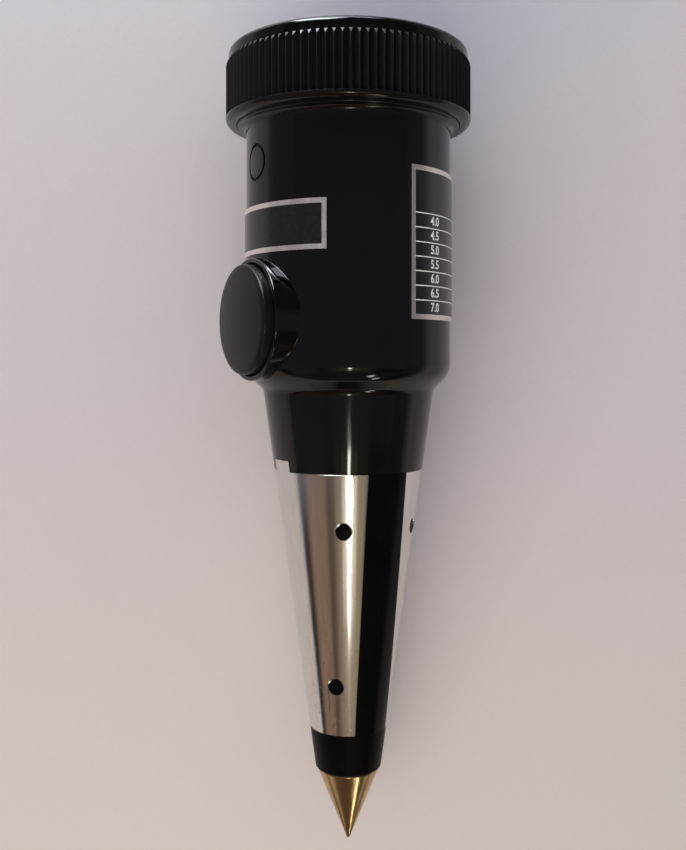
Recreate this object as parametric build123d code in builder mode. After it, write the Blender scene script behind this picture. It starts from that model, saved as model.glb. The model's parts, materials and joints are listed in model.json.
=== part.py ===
from build123d import *
import os
from math import atan2, cos, degrees, pi, radians, sin, tan

# Soil pH tester. Millimetres, +Z from the brass point to the dial, origin at the point.
# The push button faces -Y, which is the reader's side of the dial.

# Lengths along the axis, from the point upwards
tip_length = 14.9
cone_length = 77.0
shoulder_height = 3.3
barrel_length = 50.0
neck_length = 8.4
gasket_flange = 0.8
lens_thickness = 2.0
lip_height = 3.4

# Housing moulding
cone_end_radius = 6.65
barrel_radius = 20.85
shoulder_step = 3.45
neck_step = 1.85
cone_wall = 3.0
barrel_wall = 2.45
neck_wall = 2.7
cone_floor = 12.1
chamber_depth = 5.2
shoulder_fillet = 5.0
throat_fillet = 2.0
cone_end_fillet = 0.4
collar_fillet = 1.2
roundel_radius = 3.6
roundel_line = 0.5
roundel_depth = 0.25
roundel_drop = 8.7

# Fits
running_clearance = 0.05
loose_clearance = 0.2
thread_clearance = 0.1

# Brass tip and the bush that holds it
tip_step = 0.25
tip_point_radius = 0.25
tip_point_fillet = 0.2
spigot_radius = 2.0
spigot_length = 8.0
insert_radius = 3.2
insert_flange_radius = 4.4
insert_flange_height = 2.0
insert_flange_rise = 4.0
insert_stand = 2.0
insert_thread_depth = 9.5

# Electrode plates, flush in the cone
plate_thickness = 0.8
plate_length = 52.5
plate_rise = 8.5
front_top_half_angle = 75.0
front_end_half_angle = 69.5
rear_top_half_angle = 71.5
rear_end_half_angle = 47.0
stake_radius = 1.55
stake_inset = 4.2
stake_recess = 0.3
lower_stake_rise = 10.0
upper_stake_rise = 41.3
tab_width = 5.8
tab_height = 2.2
tongue_width = 4.6
tongue_reach = 2.2

# Push button
button_travel = 2.0
boss_side_land = 8.9
boss_dip = 1.4
boss_stand = 1.45
boss_wall = 0.95
boss_fillet = 0.7
boss_rim_fillet = 0.4
well_depth = 5.5
well_floor = 2.0
cap_gap = 0.25
cap_stand = 2.65
cap_crown = 0.8
cap_edge_radius = 0.7
cap_wall = 1.7
cap_top_thickness = 2.2
skirt_clearance = 0.8
stem_radius = 2.5
stem_tail = 0.8
clip_groove = 0.6
clip_thickness = 0.6
clip_radius = 4.2
clip_opening = 3.0
button_spring_radius = 4.6
button_spring_wire = 0.8
button_spring_turns = 3

# Switch contacts behind the button
post_spacing = 14.0
post_radius = 1.0
post_head_radius = 1.7
post_head_height = 0.7
lug_thickness = 0.5
lug_width = 3.4
lug_rise = 8.5
lug_tab_height = 3.5
lug_tab_reach = 3.5
bridge_bar_length = 17.0
bridge_bar_height = 4.4
bridge_bar_thickness = 0.6
bridge_bar_ring = 2.2
resistor_radius = 1.6
resistor_length = 8.0
resistor_edge_chamfer = 0.5
resistor_lead_radius = 0.35
resistor_rise = 6.8
resistor_offset = 2.3

# Bezel ring and window
bezel_wall = 1.3
bezel_gap = 0.3
knurl_depth = 0.85
knurl_count = 100
knurl_end_height = 1.05
knurl_base_rise = 1.4
knurl_top_drop = 2.55
skirt_step = 0.05
skirt_fillet = 1.2
rim_step = 0.25
rim_fillet = 1.2
rim_land = 1.0
window_lap = 2.4
window_edge_height = 0.9
lens_chamfer = 0.3
gasket_lap = 1.3
gasket_wall = 1.0
gasket_clearance = 0.1

# Dial
dial_clearance = 0.4
dial_thickness = 0.5
dial_opening_length = 23.0
dial_opening_width = 6.4
dial_screw_inset = 3.2
dial_screw_angle = 31.0
dial_screw_radius = 0.8
dial_screw_head_radius = 1.5
dial_screw_head_height = 0.7
dial_screw_length = 1.8

# Meter movement
pivot_offset = 6.0
swing_angle = 90.0
frame_thickness = 1.6
frame_opening_radius = 3.0
frame_boss_radius = 2.3
frame_boss_length = 8.0
frame_boss_inset = 2.2
frame_screw_radius = 0.9
frame_screw_head_radius = 1.8
frame_screw_length = 6.5
countersink_angle = 90.0
core_height = 9.0
yoke_clearance = 0.4
yoke_wall = 2.8
air_gap = 2.8
yoke_spacer_length = 4.0
yoke_spacer_radius = 1.35
movement_screw_radius = 0.75
movement_screw_head_radius = 1.5
movement_screw_head_height = 0.9
core_spacer_angle = 40.0
coil_gap = 0.7
coil_width = 3.0
former_thickness = 0.4
winding_thickness = 0.9
coil_corner_radius = 0.9
staff_radius = 0.6
staff_flange_radius = 1.4
staff_flange_height = 0.4
collet_radius = 1.0
collet_height = 0.6
pivot_radius = 0.4
pivot_length = 0.55
pivot_point_radius = 0.08
pivot_entry = 0.4
jewel_screw_radius = 1.2
jewel_screw_length = 1.25
jewel_cup_radius = 0.6
jewel_cup_depth = 0.6
jewel_cup_angle = 40.0
screw_slot_width = 0.4
screw_slot_depth = 0.35
bridge_stand = 3.0
bridge_thickness = 0.7
bridge_width = 4.4
bridge_inset = 3.0
bridge_foot_length = 3.3
bridge_screw_radius = 0.6
bridge_screw_head_radius = 1.1
bridge_screw_head_height = 0.5
bridge_screw_length = 1.8
lower_bridge_thickness = 1.2
lower_bridge_width = 5.0
board_thickness = 1.0
board_width = 7.5
board_opening_radius = 2.5
terminal_spacing = 10.0
terminal_radius = 0.6
terminal_flange_radius = 1.3
terminal_flange_height = 0.4
terminal_length = 4.8
hairspring_strip = 0.18
hairspring_height = 0.45
hairspring_half_turns = 7
hairspring_growth = 0.46
stud_radius = 0.45
lever_thickness = 0.3
lever_ring_radius = 2.1
lever_arm_width = 1.1

# Needle
pointer_length = 19.5
pointer_thickness = 0.25
pointer_root_width = 1.1
pointer_end_width = 0.3
pointer_height = 0.85
pointer_hub_radius = 1.5
pointer_tail_length = 5.0
pointer_tail_width = 0.6
pointer_cross_length = 8.0
weight_radius = 0.4
weight_length = 1.5
weight_inset = 0.3

# Curved label plates on the barrel
label_thickness = 0.3
name_plate_height = 9.5
name_plate_half_angle = 49.0
name_plate_gap = 0.8
table_plate_height = 29.2
table_plate_start_angle = 4.5
table_plate_angle = 68.0
table_plate_drop = 10.35

# Hook-up wire
wire_radius = 0.55
wire_corner_share = 0.45
wire_sway = 4.0
wire_rise = 10.0
tongue_wire_run = 4.5
insert_wire_run = 14.0
lug_wire_run = 2.5
plate_terminal_run = 5.0
switch_terminal_run = 3.5

# Heights that follow from the lengths
cone_top_z = tip_length + cone_length
barrel_base_z = cone_top_z + shoulder_height
collar_z = barrel_base_z + barrel_length
neck_top_z = collar_z + neck_length
lens_base_z = neck_top_z + gasket_flange
lens_top_z = lens_base_z + lens_thickness
gasket_top_z = lens_top_z + gasket_flange
lip_base_z = gasket_top_z + thread_clearance
bezel_top_z = lip_base_z + lip_height
bezel_base_z = collar_z + bezel_gap
knurl_base_z = bezel_base_z + knurl_base_rise
knurl_top_z = bezel_top_z - knurl_top_drop
cavity_floor_z = tip_length + cone_floor
plate_base_z = tip_length + plate_rise
plate_top_z = plate_base_z + plate_length
chamber_floor_z = neck_top_z - chamber_depth
frame_top_z = chamber_floor_z + frame_thickness
dial_top_z = frame_top_z + dial_thickness
yoke_top_z = chamber_floor_z - yoke_spacer_length
yoke_base_z = yoke_top_z - core_height
coil_height = core_height + 2 * (coil_gap + former_thickness + winding_thickness)
coil_mid_z = yoke_base_z + core_height / 2
coil_top_z = coil_mid_z + coil_height / 2
coil_base_z = coil_mid_z - coil_height / 2
lower_bridge_top_z = yoke_base_z - yoke_spacer_length
lower_bridge_base_z = lower_bridge_top_z - lower_bridge_thickness
board_base_z = lower_bridge_base_z - board_thickness
upper_bridge_z = frame_top_z + bridge_stand
pointer_z = dial_top_z + pointer_height

# Radii and reaches that follow
cone_top_radius = barrel_radius - shoulder_step
neck_radius = barrel_radius + neck_step
cone_slope = (cone_top_radius - cone_end_radius) / cone_length
tip_base_radius = cone_end_radius - tip_step
bore_radius = barrel_radius - barrel_wall
chamber_radius = neck_radius - neck_wall
boss_radius = barrel_radius - boss_side_land
button_z = barrel_base_z + boss_radius - boss_dip
boss_face = barrel_radius + boss_stand
well_radius = boss_radius - boss_wall
well_base = boss_face - well_depth
pad_face = well_base - well_floor
cap_radius = well_radius - cap_gap
cap_crown_reach = boss_face + cap_stand
cap_underside = cap_crown_reach - cap_top_thickness
cap_base = well_base + button_travel + skirt_clearance
contact_face = pad_face - lug_thickness - post_head_height
clip_face = contact_face - bridge_bar_thickness
stem_end = clip_face - clip_groove - stem_tail
bezel_bore_radius = neck_radius + thread_clearance
knurl_root_radius = bezel_bore_radius + bezel_wall
knurl_crest_radius = knurl_root_radius + knurl_depth
bezel_radius = knurl_crest_radius + skirt_step
rim_radius = knurl_root_radius + rim_step
rim_land_radius = rim_radius - rim_fillet - rim_land
gasket_radius = neck_radius - gasket_clearance
lens_radius = gasket_radius - gasket_wall
gasket_bore_radius = lens_radius - gasket_lap
window_radius = lens_radius - window_lap
dial_radius = chamber_radius - dial_clearance
dial_screw_circle = dial_radius - dial_screw_inset
frame_boss_circle = bore_radius - frame_boss_inset
yoke_radius = bore_radius - pivot_offset - yoke_clearance
yoke_bore_radius = yoke_radius - yoke_wall
core_radius = yoke_bore_radius - air_gap
bridge_inner_half = yoke_bore_radius - bridge_inset
yoke_screw_circle = (yoke_radius + yoke_bore_radius) / 2
coil_inner_half = core_radius + coil_gap
former_half = coil_inner_half + former_thickness
coil_half = former_half + winding_thickness
hairspring_start = collet_radius + hairspring_strip / 2
hairspring_end = hairspring_start + (hairspring_half_turns - 1) * hairspring_growth
pivot_y = -pivot_offset
rest_angle = 90.0 + swing_angle / 2


def save(piece, node):
    piece.part.label = node
    export_step(piece.part, f"parts/{node}.step")


def cone_radius(z):
    return cone_end_radius + (z - tip_length) * cone_slope


def direction(angle):
    return Vector(cos(radians(angle)), sin(radians(angle)), 0)


def pivot_plane(z, angle=0.0):
    return Plane(origin=(0, pivot_y, z), x_dir=direction(angle), z_dir=(0, 0, 1))


def upright_plane(origin, angle):
    return Plane(origin=origin, x_dir=direction(angle), z_dir=direction(angle - 90))


def slotted_screws(seats, shank_radius, shank_length, head_radius, head_height):
    with BuildPart() as screws:
        for seat in seats:
            with BuildSketch(seat):
                Circle(head_radius)
            extrude(amount=head_height)
            with BuildSketch(seat):
                Circle(shank_radius)
            extrude(amount=-shank_length)
            with BuildSketch(seat.offset(head_height)):
                Rectangle(3 * head_radius, screw_slot_width)
            extrude(amount=-screw_slot_depth, mode=Mode.SUBTRACT)
    return screws


# One electrode plate: a slice of cone shell with a tab, a tongue through the wall and stake holes.
# For the pocket it leaves in the housing it is thicker outwards and its stake holes end below the face.
def electrode_plate(facing, top_half_angle, end_half_angle, margin, hole_reach):
    tab_top_z = plate_top_z + tab_height
    tongue_z = plate_top_z + tab_height / 2 - plate_thickness / 2
    tongue_end = cone_radius(tongue_z) - cone_wall - tongue_reach
    tongue_root = cone_radius(tongue_z) - plate_thickness / 2
    with BuildPart() as plate:
        with BuildSketch(Plane.XZ):
            with BuildLine():
                Polyline(
                    (cone_radius(plate_base_z) - plate_thickness, plate_base_z),
                    (cone_radius(plate_base_z) + margin, plate_base_z),
                    (cone_radius(tab_top_z) + margin, tab_top_z),
                    (cone_radius(tab_top_z) - plate_thickness, tab_top_z),
                    close=True,
                )
            make_face()
        revolve(axis=Axis.Z)
        for side in (-1, 1):
            plate_edge = edge_plane(facing, side, top_half_angle, end_half_angle)
            split(bisect_by=plate_edge, keep=Keep.BOTTOM)
        across = upright_plane((0, 0, plate_top_z), facing + 90)
        with BuildSketch(across):
            for side in (-1, 1):
                with Locations((side * (tab_width / 2 + cone_top_radius), tab_height)):
                    Rectangle(2 * cone_top_radius, 2 * tab_height)
        extrude(amount=2 * cone_top_radius, both=True, mode=Mode.SUBTRACT)
        tongue_plane = Plane((0, 0, tongue_z), x_dir=direction(facing), z_dir=(0, 0, 1))
        with BuildSketch(tongue_plane):
            with Locations(((tongue_end + tongue_root) / 2, 0)):
                Rectangle(tongue_root - tongue_end, tongue_width)
        extrude(amount=plate_thickness)
        for rise in (lower_stake_rise, upper_stake_rise):
            stake_z = plate_base_z + rise
            radius = cone_radius(stake_z)
            share = rise / plate_length
            half_angle = end_half_angle + share * (top_half_angle - end_half_angle)
            stake_angle = half_angle - degrees(stake_inset / radius)
            for side in (-1, 1):
                outward = direction(facing + side * stake_angle)
                with BuildSketch(Plane((0, 0, stake_z), x_dir=(0, 0, 1), z_dir=outward)):
                    Circle(stake_radius)
                extrude(amount=radius + hole_reach, mode=Mode.SUBTRACT)
    return plate


# Plane through one long edge of a plate, square to the cone half way up
def edge_plane(facing, side, top_half_angle, end_half_angle):
    top = direction(facing + side * top_half_angle) * cone_radius(plate_top_z)
    end = direction(facing + side * end_half_angle) * cone_radius(plate_base_z)
    along = top - end + Vector(0, 0, plate_length)
    outward = direction(facing + side * (top_half_angle + end_half_angle) / 2)
    origin = end + Vector(0, 0, plate_base_z)
    return Plane(origin=origin, x_dir=along, z_dir=along.cross(outward) * side)


def curved_label(start_angle, angle, base_z, height):
    with BuildPart() as label:
        with BuildSketch(upright_plane((0, 0, base_z), start_angle)):
            with Locations((barrel_radius + label_thickness / 2, height / 2)):
                Rectangle(label_thickness, height)
        revolve(axis=Axis.Z, revolution_arc=angle)
    return label


def hairspring(plane):
    with BuildPart() as spring:
        with BuildSketch(plane):
            with BuildLine():
                start = hairspring_start
                for turn in range(hairspring_half_turns):
                    radius = hairspring_start + turn * hairspring_growth
                    side = 1 if turn % 2 == 0 else -1
                    CenterArc((start - side * radius, 0), radius, 90 - 90 * side, 180)
                    start -= 2 * side * radius
            trace(line_width=hairspring_strip)
        extrude(amount=hairspring_height)
    return spring


# Insulated lead along straight runs joined by arcs as large as the shorter run allows
def lead(points):
    places = [Vector(*point) for point in points]
    radii = []
    for before, corner, after in zip(places, places[1:], places[2:]):
        arriving = corner - before
        leaving = after - corner
        shorter = min(arriving.length, leaving.length)
        turn = arriving.get_angle(leaving)
        radii.append(wire_corner_share * shorter / tan(radians(turn / 2)))
    with BuildPart() as wire:
        with BuildLine() as route:
            FilletPolyline(*places, radius=radii)
        with BuildSketch(Plane(origin=route.line @ 0, z_dir=route.line % 0)):
            Circle(wire_radius)
        sweep()
    return wire


os.makedirs("parts", exist_ok=True)

# Electrode plates, and the pockets they leave in the moulding
front_shape = (-90, front_top_half_angle, front_end_half_angle)
rear_shape = (90, rear_top_half_angle, rear_end_half_angle)
front_electrode = electrode_plate(*front_shape, 0, plate_thickness)
rear_electrode = electrode_plate(*rear_shape, 0, plate_thickness)
front_pocket = electrode_plate(*front_shape, plate_thickness, -stake_recess)
rear_pocket = electrode_plate(*rear_shape, plate_thickness, -stake_recess)
save(front_electrode, "front_electrode")
save(rear_electrode, "rear_electrode")

# Threaded bush moulded into the end of the cone
with BuildPart() as tip_insert:
    flange_z = tip_length + insert_flange_rise
    with BuildSketch(Plane.XZ):
        with BuildLine():
            Polyline(
                (0, tip_length + insert_thread_depth),
                (spigot_radius, tip_length + insert_thread_depth),
                (spigot_radius, tip_length),
                (insert_radius, tip_length),
                (insert_radius, flange_z),
                (insert_flange_radius, flange_z),
                (insert_flange_radius, flange_z + insert_flange_height),
                (insert_radius, flange_z + insert_flange_height),
                (insert_radius, cavity_floor_z + insert_stand),
                (0, cavity_floor_z + insert_stand),
                close=True,
            )
        make_face()
    revolve(axis=Axis.Z)
save(tip_insert, "tip_insert")

with BuildPart() as probe_tip:
    with BuildSketch(Plane.XZ) as tip_outline:
        with BuildLine():
            Polyline(
                (0, 0),
                (tip_point_radius, 0),
                (tip_base_radius, tip_length),
                (spigot_radius - running_clearance, tip_length),
                (spigot_radius - running_clearance, tip_length + spigot_length),
                (0, tip_length + spigot_length),
                close=True,
            )
        make_face()
        point_corner = tip_outline.vertices().group_by(Axis.Y)[0].sort_by(Axis.X)[-1]
        fillet(point_corner, tip_point_fillet)
    revolve(axis=Axis.Z)
save(probe_tip, "probe_tip")

# Ring groove that marks the roundel above the label
with BuildPart() as roundel_groove:
    with BuildSketch(Plane.XZ.offset(bore_radius)):
        with Locations((0, collar_z - roundel_drop)):
            Circle(roundel_radius)
            Circle(roundel_radius - roundel_line, mode=Mode.SUBTRACT)
    extrude(amount=2 * barrel_wall)
    with BuildSketch(Plane.XY.offset(barrel_base_z)):
        Circle(barrel_radius - roundel_depth)
    extrude(amount=barrel_length, mode=Mode.SUBTRACT)

# Moulded body: hollow cone, shoulder, barrel with button boss, threaded neck
with BuildPart() as housing:
    with BuildSketch(Plane.XZ) as body_outline:
        with BuildLine():
            Polyline(
                (0, tip_length),
                (cone_end_radius, tip_length),
                (cone_top_radius, cone_top_z),
                (barrel_radius, barrel_base_z),
                (barrel_radius, collar_z),
                (neck_radius, collar_z),
                (neck_radius, neck_top_z),
                (0, neck_top_z),
                close=True,
            )
        make_face()
        corners = body_outline.vertices()
        fillet(corners.sort_by_distance((barrel_radius, barrel_base_z))[0], shoulder_fillet)
        corners = body_outline.vertices()
        fillet(corners.sort_by_distance((cone_top_radius, cone_top_z))[0], throat_fillet)
        corners = body_outline.vertices()
        fillet(corners.sort_by_distance((cone_end_radius, tip_length))[0], cone_end_fillet)
        corners = body_outline.vertices()
        fillet(corners.sort_by_distance((barrel_radius, collar_z))[0], collar_fillet)
    revolve(axis=Axis.Z)
    with BuildSketch(Plane.XZ.offset(pad_face)):
        with Locations((0, button_z)):
            Circle(boss_radius)
    extrude(amount=boss_face - pad_face)
    boss_edges = housing.edges(Select.LAST)
    boss_rim = boss_edges.filter_by(GeomType.CIRCLE).sort_by(Axis.Y)[0]
    boss_root = boss_edges.filter_by(lambda edge: edge.center().Y > boss_stand / 2 - boss_face)
    boss_root = boss_root.filter_by(lambda edge: edge.geom_type != GeomType.LINE)
    fillet(boss_root, boss_fillet)
    fillet(boss_rim, boss_rim_fillet)
    with BuildSketch(Plane.XZ):
        with BuildLine():
            Polyline(
                (0, cavity_floor_z),
                (cone_radius(cavity_floor_z) - cone_wall, cavity_floor_z),
                (cone_top_radius - cone_wall, cone_top_z),
                (bore_radius, barrel_base_z + shoulder_height),
                (bore_radius, chamber_floor_z),
                (chamber_radius, chamber_floor_z),
                (chamber_radius, neck_top_z),
                (0, neck_top_z),
                close=True,
            )
        make_face()
    revolve(axis=Axis.Z, mode=Mode.SUBTRACT)
    with BuildSketch(Plane.XZ.offset(pad_face)):
        with Locations((0, button_z)):
            Circle(boss_radius)
    extrude(amount=well_base - pad_face + barrel_wall)
    with BuildSketch(Plane.XZ.offset(well_base)):
        with Locations((0, button_z)):
            Circle(well_radius)
    extrude(amount=well_depth, mode=Mode.SUBTRACT)
    with BuildSketch(Plane.XZ.offset(pad_face)):
        with Locations((0, button_z)):
            Circle(stem_radius + running_clearance)
        with Locations((-post_spacing / 2, button_z), (post_spacing / 2, button_z)):
            Circle(post_radius)
    extrude(amount=well_floor, mode=Mode.SUBTRACT)
    with BuildSketch(Plane.XY.offset(chamber_floor_z)):
        with PolarLocations(frame_boss_circle, 3, 0, 180, endpoint=True):
            Circle(frame_boss_radius)
    extrude(amount=-frame_boss_length)
    with BuildSketch(Plane.XY.offset(chamber_floor_z)):
        with PolarLocations(frame_boss_circle, 3, 0, 180, endpoint=True):
            Circle(frame_screw_radius)
    extrude(amount=-frame_screw_length, mode=Mode.SUBTRACT)
    add(tip_insert.part, mode=Mode.SUBTRACT)
    with BuildSketch(Plane.XY.offset(tip_length)):
        Circle(spigot_radius)
    extrude(amount=insert_thread_depth, mode=Mode.SUBTRACT)
    add(front_pocket.part, mode=Mode.SUBTRACT)
    add(rear_pocket.part, mode=Mode.SUBTRACT)
    add(roundel_groove.part, mode=Mode.SUBTRACT)
save(housing, "housing")

# Push button: domed cap, skirt and stem in one moulding
with BuildPart() as button_cap:
    button_profile = Plane((0, 0, button_z), x_dir=(1, 0, 0), z_dir=(0, 0, -1))
    groove_radius = stem_radius - clip_groove
    with BuildSketch(button_profile) as cap_outline:
        with BuildLine():
            TangentArc(
                (0, cap_crown_reach), (cap_radius, cap_crown_reach - cap_crown), tangent=(1, 0)
            )
            Polyline(
                (cap_radius, cap_crown_reach - cap_crown),
                (cap_radius, cap_base),
                (cap_radius - cap_wall, cap_base),
                (cap_radius - cap_wall, cap_underside),
                (stem_radius, cap_underside),
                (stem_radius, clip_face),
                (groove_radius, clip_face),
                (groove_radius, clip_face - clip_thickness),
                (stem_radius, clip_face - clip_thickness),
                (stem_radius, stem_end),
                (0, stem_end),
                (0, cap_crown_reach),
            )
        make_face()
        crown_corner = (cap_radius, cap_crown_reach - cap_crown)
        fillet(cap_outline.vertices().sort_by_distance(crown_corner)[0], cap_edge_radius)
    revolve(axis=Axis((0, 0, button_z), (0, -1, 0)))
save(button_cap, "button_cap")

with BuildPart() as button_spring:
    wire = button_spring_wire / 2
    spring_height = cap_underside - well_base - button_spring_wire
    with BuildLine() as coil_line:
        Helix(
            pitch=spring_height / button_spring_turns,
            height=spring_height,
            radius=button_spring_radius,
            center=(0, -well_base - wire, button_z),
            direction=(0, -1, 0),
        )
    with BuildSketch(Plane(coil_line.line @ 0, x_dir=(1, 0, 0), z_dir=coil_line.line % 0)):
        Rectangle(button_spring_wire, button_spring_wire)
    sweep(is_frenet=True)
save(button_spring, "button_spring")

# Retaining clip in the stem groove, and the bar that bridges the two posts
with BuildPart() as button_clip:
    with BuildSketch(Plane.XZ.offset(clip_face - clip_thickness)):
        with Locations((0, button_z)):
            Circle(clip_radius)
            Circle(groove_radius, mode=Mode.SUBTRACT)
        with Locations((0, button_z - clip_radius)):
            Rectangle(clip_opening, 2 * clip_radius, mode=Mode.SUBTRACT)
    extrude(amount=clip_thickness)
save(button_clip, "button_clip")

with BuildPart() as contact_bridge:
    with BuildSketch(Plane.XZ.offset(clip_face)):
        with Locations((0, button_z)):
            SlotOverall(bridge_bar_length, bridge_bar_height)
            Circle(stem_radius + bridge_bar_ring)
            Circle(stem_radius, mode=Mode.SUBTRACT)
    extrude(amount=bridge_bar_thickness)
save(contact_bridge, "contact_bridge")

with BuildPart() as contact_posts:
    with BuildSketch(Plane.XZ.offset(pad_face - lug_thickness)):
        with Locations((-post_spacing / 2, button_z), (post_spacing / 2, button_z)):
            Circle(post_radius)
    extrude(amount=lug_thickness + well_floor)
    with BuildSketch(Plane.XZ.offset(contact_face)):
        with Locations((-post_spacing / 2, button_z), (post_spacing / 2, button_z)):
            Circle(post_head_radius)
    extrude(amount=post_head_height)
save(contact_posts, "contact_posts")

# Solder lugs clamped under the post heads, with an upright tab for the resistor lead
lug_tab_x = post_spacing / 2 + lug_width / 2
resistor_y = -pad_face + resistor_offset
resistor_z = button_z + resistor_rise
with BuildPart() as contact_lugs:
    with BuildSketch(Plane.XZ.offset(pad_face - lug_thickness)):
        with Locations((post_spacing / 2, button_z + (lug_rise - lug_width / 2) / 2)):
            Rectangle(lug_width, lug_rise + lug_width / 2)
        with Locations((post_spacing / 2, button_z)):
            Circle(post_radius, mode=Mode.SUBTRACT)
    extrude(amount=lug_thickness)
    with BuildSketch(Plane.YZ.offset(lug_tab_x - lug_thickness)):
        with Locations((-pad_face + lug_tab_reach / 2, button_z + lug_rise - lug_tab_height / 2)):
            Rectangle(lug_tab_reach, lug_tab_height)
        with Locations((resistor_y, resistor_z)):
            Circle(resistor_lead_radius, mode=Mode.SUBTRACT)
    extrude(amount=lug_thickness)
    mirror(about=Plane.YZ)
save(contact_lugs, "contact_lugs")

with BuildPart() as series_resistor:
    with BuildSketch(Plane.YZ):
        with Locations((resistor_y, resistor_z)):
            Circle(resistor_lead_radius)
    extrude(amount=lug_tab_x + lug_thickness, both=True)
    with BuildSketch(Plane.YZ):
        with Locations((resistor_y, resistor_z)):
            Circle(resistor_radius)
    extrude(amount=resistor_length / 2, both=True)
    body_rims = series_resistor.edges().filter_by(GeomType.CIRCLE)
    body_rims = body_rims.filter_by(lambda edge: edge.radius == resistor_radius)
    chamfer(body_rims, resistor_edge_chamfer)
save(series_resistor, "series_resistor")

# Knurled screw ring round the dial: sharp ridges that end above in a sloping facet, below on a plain skirt
ridge_angle = 360 / knurl_count
ridge_places = range(knurl_count)
facet_radius = rim_radius / cos(pi / knurl_count)
crests = [direction(ridge * ridge_angle) * knurl_crest_radius for ridge in ridge_places]
roots = [direction((ridge + 0.5) * ridge_angle) * knurl_root_radius for ridge in ridge_places]
facet_corners = [direction((ridge + 0.5) * ridge_angle) * facet_radius for ridge in ridge_places]
knurl_height = knurl_top_z - knurl_base_z
knurl_end_slope = degrees(atan2(knurl_crest_radius - rim_radius, knurl_end_height))
with BuildPart() as bezel_ring:
    with BuildSketch(Plane.XY.offset(knurl_base_z)):
        with BuildLine():
            Polyline(*[point for pair in zip(crests, roots) for point in pair], close=True)
        make_face()
    extrude(amount=knurl_height)
    with BuildSketch(Plane.XY.offset(knurl_top_z)):
        with BuildLine():
            Polyline(*facet_corners, close=True)
        make_face()
    extrude(amount=-knurl_height, taper=-knurl_end_slope, mode=Mode.INTERSECT)
    with BuildSketch(Plane.XZ) as rim_outline:
        with BuildLine():
            Polyline(
                (0, bezel_base_z),
                (bezel_radius, bezel_base_z),
                (bezel_radius, knurl_base_z),
                (bezel_bore_radius, knurl_base_z),
                (bezel_bore_radius, knurl_top_z),
                (rim_radius, knurl_top_z),
                (rim_radius, bezel_top_z),
                (0, bezel_top_z),
                close=True,
            )
        make_face()
        fillet(rim_outline.vertices().sort_by_distance((rim_radius, bezel_top_z))[0], rim_fillet)
        fillet(rim_outline.vertices().sort_by_distance((bezel_radius, bezel_base_z))[0], skirt_fillet)
    revolve(axis=Axis.Z)
    with BuildSketch(Plane.XZ):
        with BuildLine():
            Polyline(
                (0, bezel_base_z),
                (bezel_bore_radius, bezel_base_z),
                (bezel_bore_radius, lip_base_z),
                (window_radius, lip_base_z),
                (window_radius, lip_base_z + window_edge_height),
                (rim_land_radius, bezel_top_z),
                (0, bezel_top_z),
                close=True,
            )
        make_face()
    revolve(axis=Axis.Z, mode=Mode.SUBTRACT)
save(bezel_ring, "bezel_ring")

with BuildPart() as lens:
    with BuildSketch(Plane.XY.offset(lens_base_z)):
        Circle(lens_radius)
    extrude(amount=lens_thickness)
    chamfer(lens.edges().filter_by(GeomType.CIRCLE), lens_chamfer)
save(lens, "lens")

# Channel seal that grips the rim of the window
with BuildPart() as lens_gasket:
    with BuildSketch(Plane.XZ):
        with BuildLine():
            Polyline(
                (gasket_bore_radius, neck_top_z),
                (gasket_radius, neck_top_z),
                (gasket_radius, gasket_top_z),
                (gasket_bore_radius, gasket_top_z),
                close=True,
            )
        make_face()
    revolve(axis=Axis.Z)
    with BuildSketch(Plane.XY.offset(lens_base_z)):
        Circle(lens_radius)
    extrude(amount=lens_thickness, mode=Mode.SUBTRACT)
save(lens_gasket, "lens_gasket")

# Movement frame: round plate on the chamber ledge
bridge_screw_x = bridge_inner_half + bridge_thickness + bridge_foot_length / 2
dial_screw_places = [
    direction(-dial_screw_angle) * dial_screw_circle,
    direction(dial_screw_angle - 180) * dial_screw_circle,
]
with BuildPart() as movement_frame:
    with BuildSketch(Plane.XY.offset(chamber_floor_z)):
        Circle(chamber_radius - loose_clearance)
        with Locations((0, pivot_y)):
            Circle(frame_opening_radius, mode=Mode.SUBTRACT)
        with Locations((-yoke_screw_circle, pivot_y), (yoke_screw_circle, pivot_y)):
            Circle(movement_screw_radius, mode=Mode.SUBTRACT)
        with Locations((-bridge_screw_x, pivot_y), (bridge_screw_x, pivot_y)):
            Circle(bridge_screw_radius, mode=Mode.SUBTRACT)
        with Locations(*dial_screw_places):
            Circle(dial_screw_radius, mode=Mode.SUBTRACT)
    extrude(amount=frame_thickness)
    with Locations(Plane.XY.offset(frame_top_z)):
        with PolarLocations(frame_boss_circle, 3, 0, 180, endpoint=True):
            CounterSinkHole(
                frame_screw_radius, frame_screw_head_radius, counter_sink_angle=countersink_angle
            )
save(movement_frame, "movement_frame")

with BuildPart() as frame_screws:
    head_taper = countersink_angle / 2
    head_depth = (frame_screw_head_radius - frame_screw_radius) / tan(radians(head_taper))
    with BuildSketch(Plane.XY.offset(frame_top_z)):
        with PolarLocations(frame_boss_circle, 3, 0, 180, endpoint=True):
            Circle(frame_screw_radius)
    extrude(amount=-frame_screw_length)
    with BuildSketch(Plane.XY.offset(frame_top_z)):
        with PolarLocations(frame_boss_circle, 3, 0, 180, endpoint=True):
            Circle(frame_screw_head_radius)
    extrude(amount=-head_depth, taper=head_taper)
    with BuildSketch(Plane.XY.offset(frame_top_z)):
        with PolarLocations(frame_boss_circle, 3, 0, 180, endpoint=True):
            Rectangle(3 * frame_screw_head_radius, screw_slot_width)
    extrude(amount=-screw_slot_depth, mode=Mode.SUBTRACT)
save(frame_screws, "frame_screws")

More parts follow.
